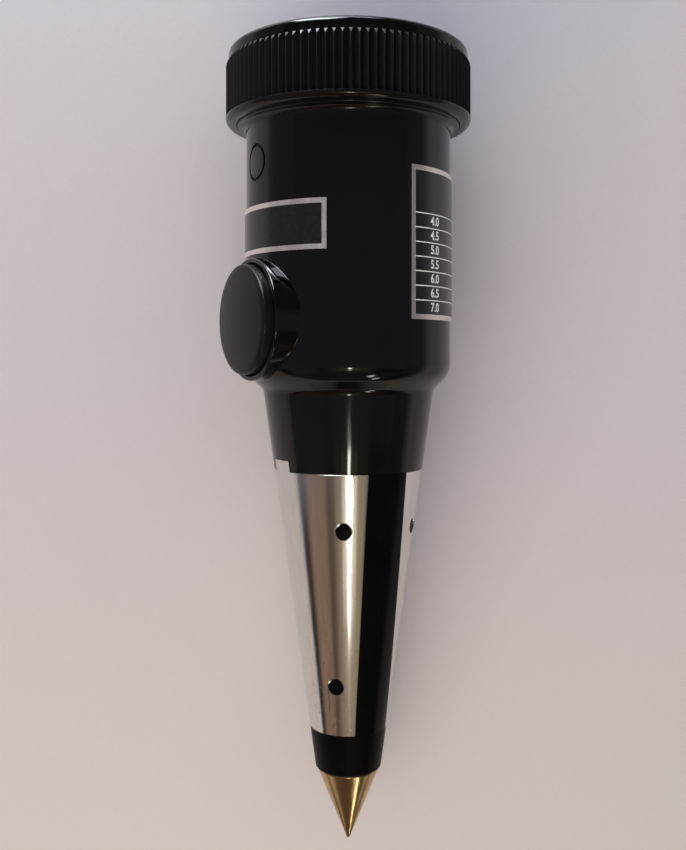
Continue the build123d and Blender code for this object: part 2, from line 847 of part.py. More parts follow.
with BuildPart() as dial_plate:
    with BuildSketch(Plane.XY.offset(frame_top_z)):
        Circle(dial_radius)
        with Locations((0, pivot_y)):
            SlotOverall(dial_opening_length, dial_opening_width, mode=Mode.SUBTRACT)
        with Locations(*dial_screw_places):
            Circle(dial_screw_radius, mode=Mode.SUBTRACT)
    extrude(amount=dial_thickness)
save(dial_plate, "dial_plate")

dial_screws = slotted_screws(
    [Plane(place + Vector(0, 0, dial_top_z)) for place in dial_screw_places],
    dial_screw_radius,
    dial_screw_length,
    dial_screw_head_radius,
    dial_screw_head_height,
)
save(dial_screws, "dial_screws")

# Magnet core, its spacers and the yoke ring
with BuildPart() as core_magnet:
    with BuildSketch(pivot_plane(yoke_base_z)):
        Circle(core_radius)
    extrude(amount=core_height)
save(core_magnet, "core_magnet")

with BuildPart() as yoke_ring:
    with BuildSketch(pivot_plane(yoke_base_z)):
        Circle(yoke_radius)
        Circle(yoke_bore_radius, mode=Mode.SUBTRACT)
        with PolarLocations(yoke_screw_circle, 2):
            Circle(movement_screw_radius, mode=Mode.SUBTRACT)
    extrude(amount=core_height)
save(yoke_ring, "yoke_ring")

with BuildPart() as core_spacers:
    for facing in (-90, 90):
        with BuildSketch(upright_plane((0, pivot_y, yoke_base_z), facing - core_spacer_angle / 2)):
            with Locations(((core_radius + yoke_bore_radius) / 2, core_height / 2)):
                Rectangle(yoke_bore_radius - core_radius, core_height)
        revolve(axis=Axis((0, pivot_y, 0), (0, 0, 1)), revolution_arc=core_spacer_angle)
save(core_spacers, "core_spacers")

with BuildPart() as yoke_spacers:
    for spacer_z in (yoke_top_z, lower_bridge_top_z):
        with BuildSketch(pivot_plane(spacer_z)):
            with PolarLocations(yoke_screw_circle, 2):
                Circle(yoke_spacer_radius)
                Circle(movement_screw_radius, mode=Mode.SUBTRACT)
        extrude(amount=yoke_spacer_length)
save(yoke_spacers, "yoke_spacers")

bar_length = 2 * (yoke_screw_circle + lower_bridge_width / 2)
with BuildPart() as lower_bridge:
    with BuildSketch(pivot_plane(lower_bridge_base_z)):
        SlotOverall(bar_length, lower_bridge_width)
        Circle(jewel_screw_radius, mode=Mode.SUBTRACT)
        with PolarLocations(yoke_screw_circle, 2):
            Circle(movement_screw_radius, mode=Mode.SUBTRACT)
    extrude(amount=lower_bridge_thickness)
save(lower_bridge, "lower_bridge")

with BuildPart() as terminal_board:
    with BuildSketch(pivot_plane(board_base_z)):
        SlotOverall(bar_length, board_width)
        Circle(board_opening_radius, mode=Mode.SUBTRACT)
        with PolarLocations(yoke_screw_circle, 2):
            Circle(movement_screw_radius, mode=Mode.SUBTRACT)
        with PolarLocations(terminal_spacing / 2, 2):
            Circle(terminal_radius, mode=Mode.SUBTRACT)
    extrude(amount=board_thickness)
save(terminal_board, "terminal_board")

with BuildPart() as terminal_pins:
    with BuildSketch(pivot_plane(board_base_z - terminal_length)):
        with PolarLocations(terminal_spacing / 2, 2):
            Circle(terminal_radius)
    extrude(amount=terminal_length + board_thickness)
    with BuildSketch(pivot_plane(board_base_z)):
        with PolarLocations(terminal_spacing / 2, 2):
            Circle(terminal_flange_radius)
    extrude(amount=-terminal_flange_height)
save(terminal_pins, "terminal_pins")

movement_screw_seats = [
    Plane((side * yoke_screw_circle, pivot_y, board_base_z), z_dir=(0, 0, -1))
    for side in (-1, 1)
]
movement_screws = slotted_screws(
    movement_screw_seats,
    movement_screw_radius,
    frame_top_z - board_base_z,
    movement_screw_head_radius,
    movement_screw_head_height,
)
save(movement_screws, "movement_screws")

# Upper bridge: pressed brass hat over the pivot, standing on the frame
with BuildPart() as upper_bridge:
    bridge_outer_half = bridge_inner_half + bridge_thickness
    foot_end = bridge_outer_half + bridge_foot_length
    with BuildSketch(Plane((0, pivot_y, frame_top_z), x_dir=(1, 0, 0), z_dir=(0, -1, 0))):
        with BuildLine():
            Polyline(
                (0, bridge_stand),
                (bridge_inner_half, bridge_stand),
                (bridge_inner_half, 0),
                (foot_end, 0),
                (foot_end, bridge_thickness),
                (bridge_outer_half, bridge_thickness),
                (bridge_outer_half, bridge_stand + bridge_thickness),
                (0, bridge_stand + bridge_thickness),
                close=True,
            )
        make_face()
        mirror(about=Plane.YZ)
    extrude(amount=bridge_width / 2, both=True)
    with BuildSketch(pivot_plane(frame_top_z)):
        Circle(jewel_screw_radius)
        with Locations((-bridge_screw_x, 0), (bridge_screw_x, 0)):
            Circle(bridge_screw_radius)
    extrude(amount=bridge_stand + bridge_thickness, mode=Mode.SUBTRACT)
save(upper_bridge, "upper_bridge")

bridge_foot_z = frame_top_z + bridge_thickness
bridge_screws = slotted_screws(
    [Plane((side * bridge_screw_x, pivot_y, bridge_foot_z)) for side in (-1, 1)],
    bridge_screw_radius,
    bridge_screw_length,
    bridge_screw_head_radius,
    bridge_screw_head_height,
)
save(bridge_screws, "bridge_screws")

# Jewel screws: slotted bearing screws with a conical cup towards the coil
upper_jewel_z = upper_bridge_z - lever_thickness + running_clearance
lower_jewel_z = lower_bridge_top_z + lever_thickness
with BuildPart() as jewel_screws:
    for face_z, up in ((upper_jewel_z, 1), (lower_jewel_z, -1)):
        facing_plane = Plane((0, pivot_y, face_z), x_dir=(1, 0, 0), z_dir=(0, 0, up))
        with BuildSketch(facing_plane):
            Circle(jewel_screw_radius)
        extrude(amount=jewel_screw_length)
        with BuildSketch(facing_plane.offset(jewel_screw_length)):
            Rectangle(3 * jewel_screw_radius, screw_slot_width)
        extrude(amount=-screw_slot_depth, mode=Mode.SUBTRACT)
        with BuildSketch(facing_plane):
            Circle(jewel_cup_radius)
        extrude(amount=jewel_cup_depth, taper=jewel_cup_angle, mode=Mode.SUBTRACT)
save(jewel_screws, "jewel_screws")

# Moving coil, staffs, hairsprings and needle, at the zero end of the scale
coil_plane = upright_plane((0, pivot_y, coil_mid_z), rest_angle - 90)
former_height = coil_height - 2 * winding_thickness
with BuildPart() as coil_former:
    with BuildSketch(coil_plane):
        RectangleRounded(2 * former_half, former_height, coil_corner_radius)
        Rectangle(2 * coil_inner_half, former_height - 2 * former_thickness, mode=Mode.SUBTRACT)
    extrude(amount=coil_width / 2, both=True)
save(coil_former, "coil_former")

with BuildPart() as coil_winding:
    with BuildSketch(coil_plane):
        RectangleRounded(2 * coil_half, coil_height, coil_corner_radius + winding_thickness)
        RectangleRounded(2 * former_half, former_height, coil_corner_radius, mode=Mode.SUBTRACT)
    extrude(amount=coil_width / 2, both=True)
save(coil_winding, "coil_winding")

upper_collet_z = upper_jewel_z + pivot_entry - pivot_length
lower_collet_z = lower_jewel_z - pivot_entry + pivot_length
with BuildPart() as pivot_staffs:
    for foot_z, collet_z, up in ((coil_top_z, upper_collet_z, 1), (coil_base_z, lower_collet_z, -1)):
        reach = abs(collet_z - foot_z)
        staff_plane = Plane((0, pivot_y, foot_z), x_dir=(1, 0, 0), z_dir=(0, -up, 0))
        with BuildSketch(staff_plane):
            with BuildLine():
                Polyline(
                    (0, 0),
                    (staff_flange_radius, 0),
                    (staff_flange_radius, staff_flange_height),
                    (staff_radius, staff_flange_height),
                    (staff_radius, reach - collet_height),
                    (collet_radius, reach - collet_height),
                    (collet_radius, reach),
                    (pivot_radius, reach),
                    (pivot_point_radius, reach + pivot_length),
                    (0, reach + pivot_length),
                    close=True,
                )
            make_face()
        revolve(axis=Axis((0, pivot_y, 0), (0, 0, 1)))
save(pivot_staffs, "pivot_staffs")

upper_spring_z = upper_collet_z - (collet_height + hairspring_height) / 2
lower_spring_z = lower_collet_z + (collet_height - hairspring_height) / 2
upper_hairspring = hairspring(pivot_plane(upper_spring_z))
lower_hairspring = hairspring(pivot_plane(lower_spring_z))
save(upper_hairspring, "upper_hairspring")
save(lower_hairspring, "lower_hairspring")

# The outer ends of the hairsprings are pinned by the zero lever and by a stud
stud_x = -hairspring_end - hairspring_strip / 2 - stud_radius
with BuildPart() as zero_lever:
    with BuildSketch(pivot_plane(upper_bridge_z - lever_thickness)):
        with Locations((stud_x / 2, 0)):
            Rectangle(-stud_x, lever_arm_width)
        with Locations((stud_x, 0)):
            Circle(lever_arm_width / 2)
        Circle(lever_ring_radius)
        Circle(jewel_screw_radius, mode=Mode.SUBTRACT)
    extrude(amount=lever_thickness)
    with BuildSketch(pivot_plane(upper_bridge_z - lever_thickness)):
        with Locations((stud_x, 0)):
            Circle(stud_radius)
    extrude(amount=upper_spring_z - upper_bridge_z + lever_thickness)
save(zero_lever, "zero_lever")

with BuildPart() as spring_stud:
    with BuildSketch(pivot_plane(lower_bridge_top_z)):
        with Locations((stud_x, 0)):
            Circle(stud_radius)
    extrude(amount=lower_spring_z + hairspring_height - lower_bridge_top_z)
save(spring_stud, "spring_stud")

pointer_plane = pivot_plane(pointer_z, rest_angle)
with BuildPart() as pointer:
    with BuildSketch(pointer_plane):
        Polygon(
            (0, -pointer_root_width / 2),
            (pointer_length, -pointer_end_width / 2),
            (pointer_length, pointer_end_width / 2),
            (0, pointer_root_width / 2),
            align=None,
        )
        with Locations((-pointer_tail_length / 2, 0)):
            Rectangle(pointer_tail_length, pointer_tail_width)
        Rectangle(pointer_tail_width, pointer_cross_length)
        Circle(pointer_hub_radius)
        Circle(staff_radius, mode=Mode.SUBTRACT)
    extrude(amount=pointer_thickness)
save(pointer, "pointer")

weight_z = pointer_z + pointer_thickness / 2
with BuildPart() as balance_weights:
    arms = (
        (rest_angle + 180, pointer_tail_length),
        (rest_angle + 90, pointer_cross_length / 2),
        (rest_angle - 90, pointer_cross_length / 2),
    )
    for angle, arm in arms:
        outward = direction(angle)
        start = Vector(0, pivot_y, weight_z) + outward * (arm - weight_inset - weight_length)
        with BuildSketch(Plane(start, z_dir=outward)):
            Circle(weight_radius)
        extrude(amount=weight_length)
    add(pointer.part, mode=Mode.SUBTRACT)
save(balance_weights, "balance_weights")

# Labels on the barrel
name_plate = curved_label(
    -90 - name_plate_half_angle,
    2 * name_plate_half_angle,
    button_z + boss_radius + name_plate_gap,
    name_plate_height,
)
save(name_plate, "name_plate")

table_plate = curved_label(
    table_plate_start_angle,
    table_plate_angle,
    collar_z - table_plate_drop - table_plate_height,
    table_plate_height,
)
save(table_plate, "table_plate")

# Leads inside the housing
tongue_z = plate_top_z + tab_height / 2
tongue_y = cone_radius(tongue_z - plate_thickness / 2) - cone_wall - tongue_reach
tongue_x = tongue_width / 4
terminal_x = terminal_spacing / 2
terminal_end_z = board_base_z - terminal_length
lug_side_z = button_z + lug_rise - 2 * wire_radius
lug_side_y = -pad_face + 2 * wire_radius
insert_top_z = cavity_floor_z + insert_stand

with BuildPart() as plate_jumper:
    with BuildSketch(Plane.XZ):
        with Locations((tongue_x, tongue_z)):
            Circle(wire_radius)
    extrude(amount=tongue_y, both=True)
save(plate_jumper, "plate_jumper")

plate_wire = lead(
    [
        (-tongue_x, -tongue_y, tongue_z),
        (-tongue_x, -tongue_y + tongue_wire_run, tongue_z),
        (-terminal_x / 2, pivot_y / 2, cone_top_z),
        (0, wire_sway, button_z),
        (terminal_x, pivot_y / 6, button_z + wire_rise),
        (terminal_x, pivot_y, terminal_end_z - plate_terminal_run),
        (terminal_x, pivot_y, terminal_end_z),
    ]
)
save(plate_wire, "plate_wire")

tip_wire = lead(
    [
        (0, 0, insert_top_z),
        (0, 0, insert_top_z + insert_wire_run),
        (terminal_x, wire_sway, plate_top_z - 2 * wire_sway),
        (2 * terminal_x, wire_sway / 2, cone_top_z),
        (lug_tab_x + wire_sway, pivot_y, button_z),
        (lug_tab_x + lug_wire_run, lug_side_y, lug_side_z),
        (lug_tab_x, lug_side_y, lug_side_z),
    ]
)
save(tip_wire, "tip_wire")

switch_wire = lead(
    [
        (-lug_tab_x, lug_side_y, lug_side_z),
        (-lug_tab_x - lug_wire_run, lug_side_y, lug_side_z),
        (-lug_tab_x, 1.5 * pivot_y, lug_side_z + 1.5 * wire_sway),
        (-terminal_x, pivot_y, terminal_end_z - switch_terminal_run),
        (-terminal_x, pivot_y, terminal_end_z),
    ]
)
save(switch_wire, "switch_wire")
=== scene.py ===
import bpy
import json
from math import atan, atan2, ceil, cos, degrees, hypot, pi, radians, sin, sqrt, tan
from mathutils import Matrix, Vector


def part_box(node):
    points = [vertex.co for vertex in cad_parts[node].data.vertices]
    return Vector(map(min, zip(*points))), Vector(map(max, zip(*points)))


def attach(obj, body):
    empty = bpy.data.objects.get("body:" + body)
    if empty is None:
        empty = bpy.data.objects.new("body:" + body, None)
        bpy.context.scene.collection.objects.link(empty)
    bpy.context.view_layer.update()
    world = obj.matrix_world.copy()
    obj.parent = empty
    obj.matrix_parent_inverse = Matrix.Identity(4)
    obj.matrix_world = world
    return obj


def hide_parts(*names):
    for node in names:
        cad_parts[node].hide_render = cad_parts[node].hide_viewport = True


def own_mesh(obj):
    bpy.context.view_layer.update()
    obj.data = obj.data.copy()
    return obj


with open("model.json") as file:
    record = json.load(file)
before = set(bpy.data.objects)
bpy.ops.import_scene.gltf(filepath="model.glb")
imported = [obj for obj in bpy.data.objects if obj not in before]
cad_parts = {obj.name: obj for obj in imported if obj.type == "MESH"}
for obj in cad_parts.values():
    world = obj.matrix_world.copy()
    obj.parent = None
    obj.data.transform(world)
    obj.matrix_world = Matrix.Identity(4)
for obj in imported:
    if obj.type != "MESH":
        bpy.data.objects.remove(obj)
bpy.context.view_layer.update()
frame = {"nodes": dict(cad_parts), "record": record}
mm = 0.001
up = Vector((0, 0, 1))
scene = bpy.context.scene
scene.view_settings.view_transform = "Standard"


# small helpers shared by all pieces
def editMode():
    bpy.ops.object.mode_set(mode="EDIT")


def objectMode():
    bpy.ops.object.mode_set(mode="OBJECT")


def pickMesh():  # the whole mesh in edit mode
    bpy.ops.mesh.select_all(action="SELECT")


def deselectAll():
    if bpy.context.object and bpy.context.object.mode != "OBJECT":
        objectMode()
    bpy.ops.object.select_all(action="DESELECT")


def pickAlone(piece):
    deselectAll()
    piece.select_set(True)
    bpy.context.view_layer.objects.active = piece


def editAll(piece):
    pickAlone(piece)
    editMode()
    pickMesh()


def pickFaces(piece, test):  # edit mode with only the wanted faces picked
    editMode()
    bpy.context.tool_settings.mesh_select_mode = (False, False, True)
    bpy.ops.mesh.select_all(action="DESELECT")
    objectMode()
    for face in piece.data.polygons:
        face.select = test(face.center, face.normal)
    editMode()


def takeNew(name):  # names the new primitive and puts its place into its mesh
    piece = bpy.context.object
    piece.name = name
    bpy.ops.object.transform_apply(location=True, rotation=True, scale=True)
    return piece


def slicePlane(place, normal, **cleared):  # cuts the whole mesh in edit mode
    pickMesh()
    bpy.ops.mesh.bisect(plane_co=place, plane_no=normal, **cleared)


def applyModifier(piece, kind, **settings):
    pickAlone(piece)
    change = piece.modifiers.new(kind.lower(), kind)
    for name, value in settings.items():
        setattr(change, name, value)
    bpy.ops.object.modifier_apply(modifier=change.name)


def cutOut(piece, cutter):
    applyModifier(piece, "BOOLEAN", operation="DIFFERENCE", object=cutter, solver="EXACT")
    bpy.data.objects.remove(cutter, do_unlink=True)


def softenEdges(piece, width, segments, sharper):
    applyModifier(piece, "BEVEL", width=width * mm, segments=segments, limit_method="ANGLE",
                  angle_limit=radians(sharper), use_clamp_overlap=False)


def thicken(piece, thickness):  # turns a sheet's faces away from the axis and sets its wall inside them
    editAll(piece)
    bpy.ops.mesh.normals_make_consistent(inside=False)
    objectMode()
    if sum(face.normal.dot(Vector((*face.center.xy, 0))) for face in piece.data.polygons) < 0:
        editAll(piece)
        bpy.ops.mesh.flip_normals()
    applyModifier(piece, "SOLIDIFY", thickness=thickness * mm, offset=-1, use_even_offset=True)


def windScrew(piece, axis, turns, rise, stepsPerTurn):  # winds a small outline into a coil with closed ends
    steps = int(stepsPerTurn * turns)
    applyModifier(piece, "SCREW", axis=axis, angle=2 * pi * turns, screw_offset=rise * mm,
                  steps=steps, render_steps=steps, use_merge_vertices=False)
    editAll(piece)
    bpy.ops.mesh.select_all(action="DESELECT")
    bpy.context.tool_settings.mesh_select_mode = (False, True, False)
    bpy.ops.mesh.select_non_manifold()
    bpy.ops.mesh.edge_face_add()
    pickMesh()
    bpy.ops.mesh.normals_make_consistent(inside=False)


def joinPieces(piece, others):
    pickAlone(piece)
    for other in others:
        other.select_set(True)
    bpy.ops.object.join()


def shade(piece, crease=28):
    pickAlone(piece)
    bpy.ops.object.shade_smooth_by_angle(angle=radians(crease))


def heights(node):  # base and top of a CAD node
    return [corner.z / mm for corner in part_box(node)]


def around(angle):  # level direction, degrees anticlockwise from +X
    return Vector((cos(radians(angle)), sin(radians(angle)), 0))


def roundedOutline(corners, closed=False, turnPerStep=6.0):  # (across, along, corner radius) rows
    outline, count = [], len(corners)
    for i, (x, y, radius) in enumerate(corners):
        ends = i in (0, count - 1) and not closed
        if radius == 0 or ends:
            outline.append((x, y))
            continue
        here = Vector((x, y))
        back = (Vector(corners[i - 1][:2]) - here).normalized()
        ahead = (Vector(corners[(i + 1) % count][:2]) - here).normalized()
        half = back.angle(ahead) / 2
        middle = here + (back + ahead).normalized() * radius / sin(half)
        start = here + back * radius / tan(half) - middle
        end = here + ahead * radius / tan(half) - middle
        sweep = (atan2(end.y, end.x) - atan2(start.y, start.x) + pi) % (2 * pi) - pi
        steps = max(3, ceil(degrees(abs(sweep)) / turnPerStep))
        for k in range(steps + 1):
            turn = atan2(start.y, start.x) + sweep * k / steps
            outline.append((middle.x + radius * cos(turn), middle.y + radius * sin(turn)))
    if closed:
        outline.append(outline[0])
    return outline


# spins an outline of (radius, along) rows round an axis
def turnPiece(name, outline, steps, centre=(0, 0, 0), axis=(0, 0, 1), across=(1, 0, 0)):
    deselectAll()
    centre, axis, across = Vector(centre), Vector(axis), Vector(across)
    places = [centre + (across * r + axis * a) * mm for r, a in outline]
    bpy.ops.mesh.primitive_plane_add(size=mm)
    piece = bpy.context.object
    piece.name = name
    editMode()
    bpy.context.tool_settings.mesh_select_mode = (True, False, False)
    bpy.ops.mesh.merge(type="CENTER")
    bpy.ops.transform.translate(value=places[0])
    for here, there in zip(places, places[1:]):
        bpy.ops.mesh.extrude_region_move(TRANSFORM_OT_translate={"value": there - here})
    pickMesh()
    bpy.ops.mesh.remove_doubles(threshold=1e-7)  # points that repeat in the outline
    bpy.ops.mesh.spin(steps=steps, angle=2 * pi, center=centre, axis=axis)
    pickMesh()
    bpy.ops.mesh.remove_doubles(threshold=1e-6)  # the seam, and the points on the axis
    bpy.ops.mesh.normals_make_consistent(inside=False)
    shade(piece)
    return piece


def dress(piece, material, body, slot, *replaced):
    piece.data.materials.clear()
    piece.data.materials.append(material)
    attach(piece, body)
    if replaced:
        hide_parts(*replaced)


# camera: the tester lies with its dial end up in the picture, button to the left
camera = {"distance": 206.5, "azimuth": 60.0, "height": 97.3, "lens": 42.56,
          "shiftX": -0.0062, "shiftY": -0.0728, "clipStart": 0.005}
viewTurn = radians(camera["azimuth"])
toCamera = Vector((sin(viewTurn), -cos(viewTurn), 0))
toRight = Vector((cos(viewTurn), sin(viewTurn), 0))
deselectAll()
bpy.ops.object.camera_add(
    location=(toCamera * camera["distance"] + up * camera["height"]) * mm,
    rotation=(radians(90), 0, viewTurn),
)
scene.camera = bpy.context.object
scene.camera.data.lens = camera["lens"]
scene.camera.data.shift_x, scene.camera.data.shift_y = camera["shiftX"], camera["shiftY"]
scene.camera.data.clip_start = camera["clipStart"]
print("camera set")


# nodes that the finishes are built from
def freshMaterial(name, colour, roughness, metallic=0.0, sheen=0.5):
    material = bpy.data.materials.new(name)
    material.use_nodes = True
    tree = material.node_tree
    shader = tree.nodes["Principled BSDF"]
    shader.inputs["Base Color"].default_value = (*colour, 1)
    shader.inputs["Roughness"].default_value = roughness
    shader.inputs["Metallic"].default_value = metallic
    shader.inputs["Specular IOR Level"].default_value = sheen
    return material, tree, shader


def pattern(tree, scale, detail, stretch=(1, 1, 1)):  # noise on the piece's own coordinates
    place = tree.nodes.new("ShaderNodeTexCoord")
    mapping = tree.nodes.new("ShaderNodeMapping")
    mapping.inputs["Scale"].default_value = stretch
    noise = tree.nodes.new("ShaderNodeTexNoise")
    noise.inputs["Scale"].default_value = scale
    noise.inputs["Detail"].default_value = detail
    noise.inputs["Roughness"].default_value = 0.55
    tree.links.new(place.outputs["Object"], mapping.inputs["Vector"])
    tree.links.new(mapping.outputs["Vector"], noise.inputs["Vector"])
    return noise.outputs["Fac"]


def reachAlong(tree, direction):  # how far a point lies along a direction from the origin
    place = tree.nodes.new("ShaderNodeTexCoord")
    dot = tree.nodes.new("ShaderNodeVectorMath")
    dot.operation = "DOT_PRODUCT"
    dot.inputs[1].default_value = direction
    tree.links.new(place.outputs["Object"], dot.inputs[0])
    return dot.outputs["Value"]


def reckon(tree, operation, *values):  # a math step on sockets or plain numbers
    node = tree.nodes.new("ShaderNodeMath")
    node.operation = operation
    for socket, value in zip(node.inputs, values):
        if isinstance(value, float):
            socket.default_value = value
        else:
            tree.links.new(value, socket)
    return node.outputs["Value"]


def spread(tree, value, low, high, fromLow=0.3, fromHigh=0.7):
    node = tree.nodes.new("ShaderNodeMapRange")
    node.inputs["From Min"].default_value, node.inputs["From Max"].default_value = fromLow, fromHigh
    node.inputs["To Min"].default_value, node.inputs["To Max"].default_value = low, high
    tree.links.new(value, node.inputs["Value"])
    return node.outputs["Result"]


def mixColours(tree, share, first, second):
    node = tree.nodes.new("ShaderNodeMix")
    node.data_type = "RGBA"
    for socket, colour in ((node.inputs[6], first), (node.inputs[7], second)):
        if isinstance(colour, tuple):
            socket.default_value = (*colour, 1)
        else:
            tree.links.new(colour, socket)
    tree.links.new(share, node.inputs[0])
    return node.outputs[2]


def addRelief(tree, shader, height, strength, distance):  # laid over the relief that is there already
    node = tree.nodes.new("ShaderNodeBump")
    node.inputs["Strength"].default_value = strength
    node.inputs["Distance"].default_value = distance * mm
    tree.links.new(height, node.inputs["Height"])
    previous = shader.inputs["Normal"].links
    if previous:
        tree.links.new(previous[0].from_socket, node.inputs["Normal"])
    tree.links.new(node.outputs["Normal"], shader.inputs["Normal"])


# finishes: two tones follow the cloud, gloss and relief follow the fine grain where there is one
def mottled(name, first, second, rough, cloud, fine=None, relief=None,
            metallic=0.0, sheen=0.5, stretch=(1, 1, 1)):
    material, tree, shader = freshMaterial(name, first, rough[0], metallic, sheen)
    tones = pattern(tree, *cloud, stretch)
    grain = pattern(tree, *fine, stretch) if fine else tones
    tree.links.new(mixColours(tree, spread(tree, tones, 0, 1), first, second), shader.inputs["Base Color"])
    tree.links.new(spread(tree, grain, *rough), shader.inputs["Roughness"])
    if relief:
        addRelief(tree, shader, grain, *relief)
    return material


def plainFinish(name, first, second, rough, metallic=0.0, grain=900,
                relief=0.15, sheen=0.5, stretch=(1, 1, 1)):
    return mottled(name, first, second, (rough * 0.8, min(1, rough * 1.25)), (grain * 0.35, 5),
                   (grain * 3, 3), (relief, 0.03), metallic, sheen, stretch)


def blackMoulding(name, gloss, scuffed, relief, tone=0.0022, sheen=0.34):
    material, tree, shader = freshMaterial(name, (tone, tone, tone * 1.05), gloss, sheen=sheen)
    cloud = pattern(tree, 120, 5)
    scuffs = pattern(tree, 700, 3, (1, 1, 0.12))
    dust = pattern(tree, 5200, 1)
    dark, pale = (tone * 0.86, tone * 0.82, tone * 0.92), (tone * 1.28, tone * 1.22, tone * 1.32)
    base = mixColours(tree, spread(tree, cloud, 0, 1), dark, pale)
    dusty = mixColours(tree, spread(tree, dust, 0, 0.35, 0.76, 0.81), base, (0.07, 0.066, 0.062))
    tree.links.new(dusty, shader.inputs["Base Color"])
    polish = spread(tree, cloud, gloss * 0.8, gloss * 1.3)
    rough = reckon(tree, "ADD", polish, spread(tree, scuffs, 0.0, scuffed, 0.55, 0.8))
    tree.links.new(rough, shader.inputs["Roughness"])
    addRelief(tree, shader, pattern(tree, 95, 1), relief, 0.2)  # slow waves of the moulding
    addRelief(tree, shader, pattern(tree, 2600, 2), 0.04, 0.008)
    shader.inputs["IOR"].default_value = 1.5
    return material


def plateMetal():
    material, tree, shader = freshMaterial("polishedPlate", (0.76, 0.75, 0.73), 0.1, 1.0)
    rings = pattern(tree, 60, 3, (1, 1, 160))  # fine polishing lines round the cone
    streaks = pattern(tree, 900, 3, (1, 1, 0.03))  # lengthwise rub marks
    spots = pattern(tree, 1500, 4)
    low = spread(tree, reachAlong(tree, up), 1, 0, 0.028, 0.058)  # wear grows towards the point
    worn = reckon(tree, "MULTIPLY", spread(tree, spots, 0, 1, 0.56, 0.70), low)
    clean = mixColours(tree, spread(tree, streaks, 0, 1), (0.78, 0.77, 0.75), (0.70, 0.68, 0.65))
    tree.links.new(mixColours(tree, worn, clean, (0.54, 0.52, 0.48)), shader.inputs["Base Color"])
    rough = reckon(tree, "MULTIPLY_ADD", worn, 0.16, spread(tree, streaks, 0.10, 0.16))
    tree.links.new(rough, shader.inputs["Roughness"])
    addRelief(tree, shader, rings, 0.2, 0.008)
    addRelief(tree, shader, spots, 0.04, 0.01)
    return material


def turnedBrass():
    material = mottled("turnedBrass", (0.58, 0.41, 0.20), (0.44, 0.30, 0.14), (0.14, 0.28),
                       (420, 5), metallic=1.0)
    tree = material.node_tree
    rings = pattern(tree, 40, 3, (1, 1, 90))  # tool marks round the point
    addRelief(tree, tree.nodes["Principled BSDF"], rings, 0.22, 0.02)
    return material


def clearWindow():
    material, tree, shader = freshMaterial("clearWindow", (0.97, 0.98, 0.98), 0.02)
    tree.links.new(spread(tree, pattern(tree, 90, 4), 0.01, 0.05), shader.inputs["Roughness"])
    shader.inputs["Transmission Weight"].default_value = 1.0
    shader.inputs["IOR"].default_value = 1.49
    return material


looks = {
    "black_moulding": blackMoulding("glossyBlackMoulding", 0.07, 0.05, 0.5),
    "button_plastic": mottled("satinGreyButton", (0.004, 0.004, 0.0044), (0.0065, 0.0065, 0.007),
                              (0.26, 0.38), (240, 4), (5200, 3), (0.14, 0.01), sheen=0.15),
    "seal_rubber": plainFinish("sealRubber", (0.022, 0.022, 0.022), (0.034, 0.033, 0.032), 0.7, grain=1500),
    "window_glass": clearWindow(),
    "electrode_metal": plateMetal(),
    "brass": turnedBrass(),
    "tinned_brass": plainFinish("tinnedBrass", (0.66, 0.65, 0.62), (0.52, 0.50, 0.46), 0.32, 1.0),
    "steel": plainFinish("brightSteel", (0.58, 0.57, 0.56), (0.46, 0.45, 0.44), 0.28, 1.0, 1600),
    "label_aluminium": mottled("printedSilver", (0.90, 0.84, 0.80), (0.80, 0.74, 0.70), (0.28, 0.40),
                               (420, 3), relief=(0.10, 0.03), metallic=1.0),
    "dial_paint": plainFinish("dialWhitePaint", (0.80, 0.79, 0.75), (0.75, 0.73, 0.68), 0.45,
                              grain=500, relief=0.05),
    "needle_paint": mottled("needleRed", (0.58, 0.04, 0.022), (0.46, 0.025, 0.016), (0.34, 0.46), (2200, 3)),
    "frame_aluminium": plainFinish("frameAluminium", (0.62, 0.62, 0.62), (0.52, 0.52, 0.53), 0.4, 1.0),
    "copper_winding": plainFinish("enamelledCopper", (0.52, 0.20, 0.08), (0.40, 0.14, 0.05), 0.3, 0.9,
                                  relief=0.4, stretch=(0.4, 0.4, 6)),
    "spring_bronze": plainFinish("springBronze", (0.60, 0.40, 0.20), (0.48, 0.30, 0.14), 0.3, 1.0),
    "magnet_iron": plainFinish("castMagnet", (0.20, 0.20, 0.205), (0.14, 0.14, 0.145), 0.5, 1.0, relief=0.4),
    "spacer_plastic": plainFinish("naturalNylon", (0.62, 0.58, 0.48), (0.55, 0.50, 0.40), 0.5),
    "board_laminate": plainFinish("brownLaminate", (0.16, 0.075, 0.030), (0.11, 0.05, 0.02), 0.45,
                                  grain=1200),
    "resistor_body": plainFinish("resistorEnamel", (0.42, 0.30, 0.17), (0.34, 0.23, 0.12), 0.4),
    "red_insulation": plainFinish("redInsulation", (0.50, 0.03, 0.025), (0.40, 0.02, 0.018), 0.5),
    "black_insulation": plainFinish("blackInsulation", (0.02, 0.02, 0.02), (0.03, 0.03, 0.03), 0.5),
}
ridgeBlack = blackMoulding("satinBlackRidge", 0.34, 0.06, 0.05, 0.005)
handledBlack = blackMoulding("handledBlackSkirt", 0.17, 0.06, 0.3)
wornBlack = blackMoulding("wornBlackCone", 0.15, 0.05, 0.3, sheen=0.08)
ridgeDull = plainFinish("dullBlackRidge", (0.0095, 0.0086, 0.0104), (0.0075, 0.007, 0.0084), 0.42,
                        grain=1400, sheen=0.08)
dullBlack = plainFinish("dullBlackStake", (0.0012, 0.0012, 0.0013), (0.002, 0.002, 0.002), 0.36,
                        grain=1400, sheen=0.06)
inkBlack = mottled("labelBlackInk", (0.005, 0.005, 0.0055), (0.009, 0.0088, 0.0088), (0.15, 0.24),
                   (1500, 3), relief=(0.05, 0.006))
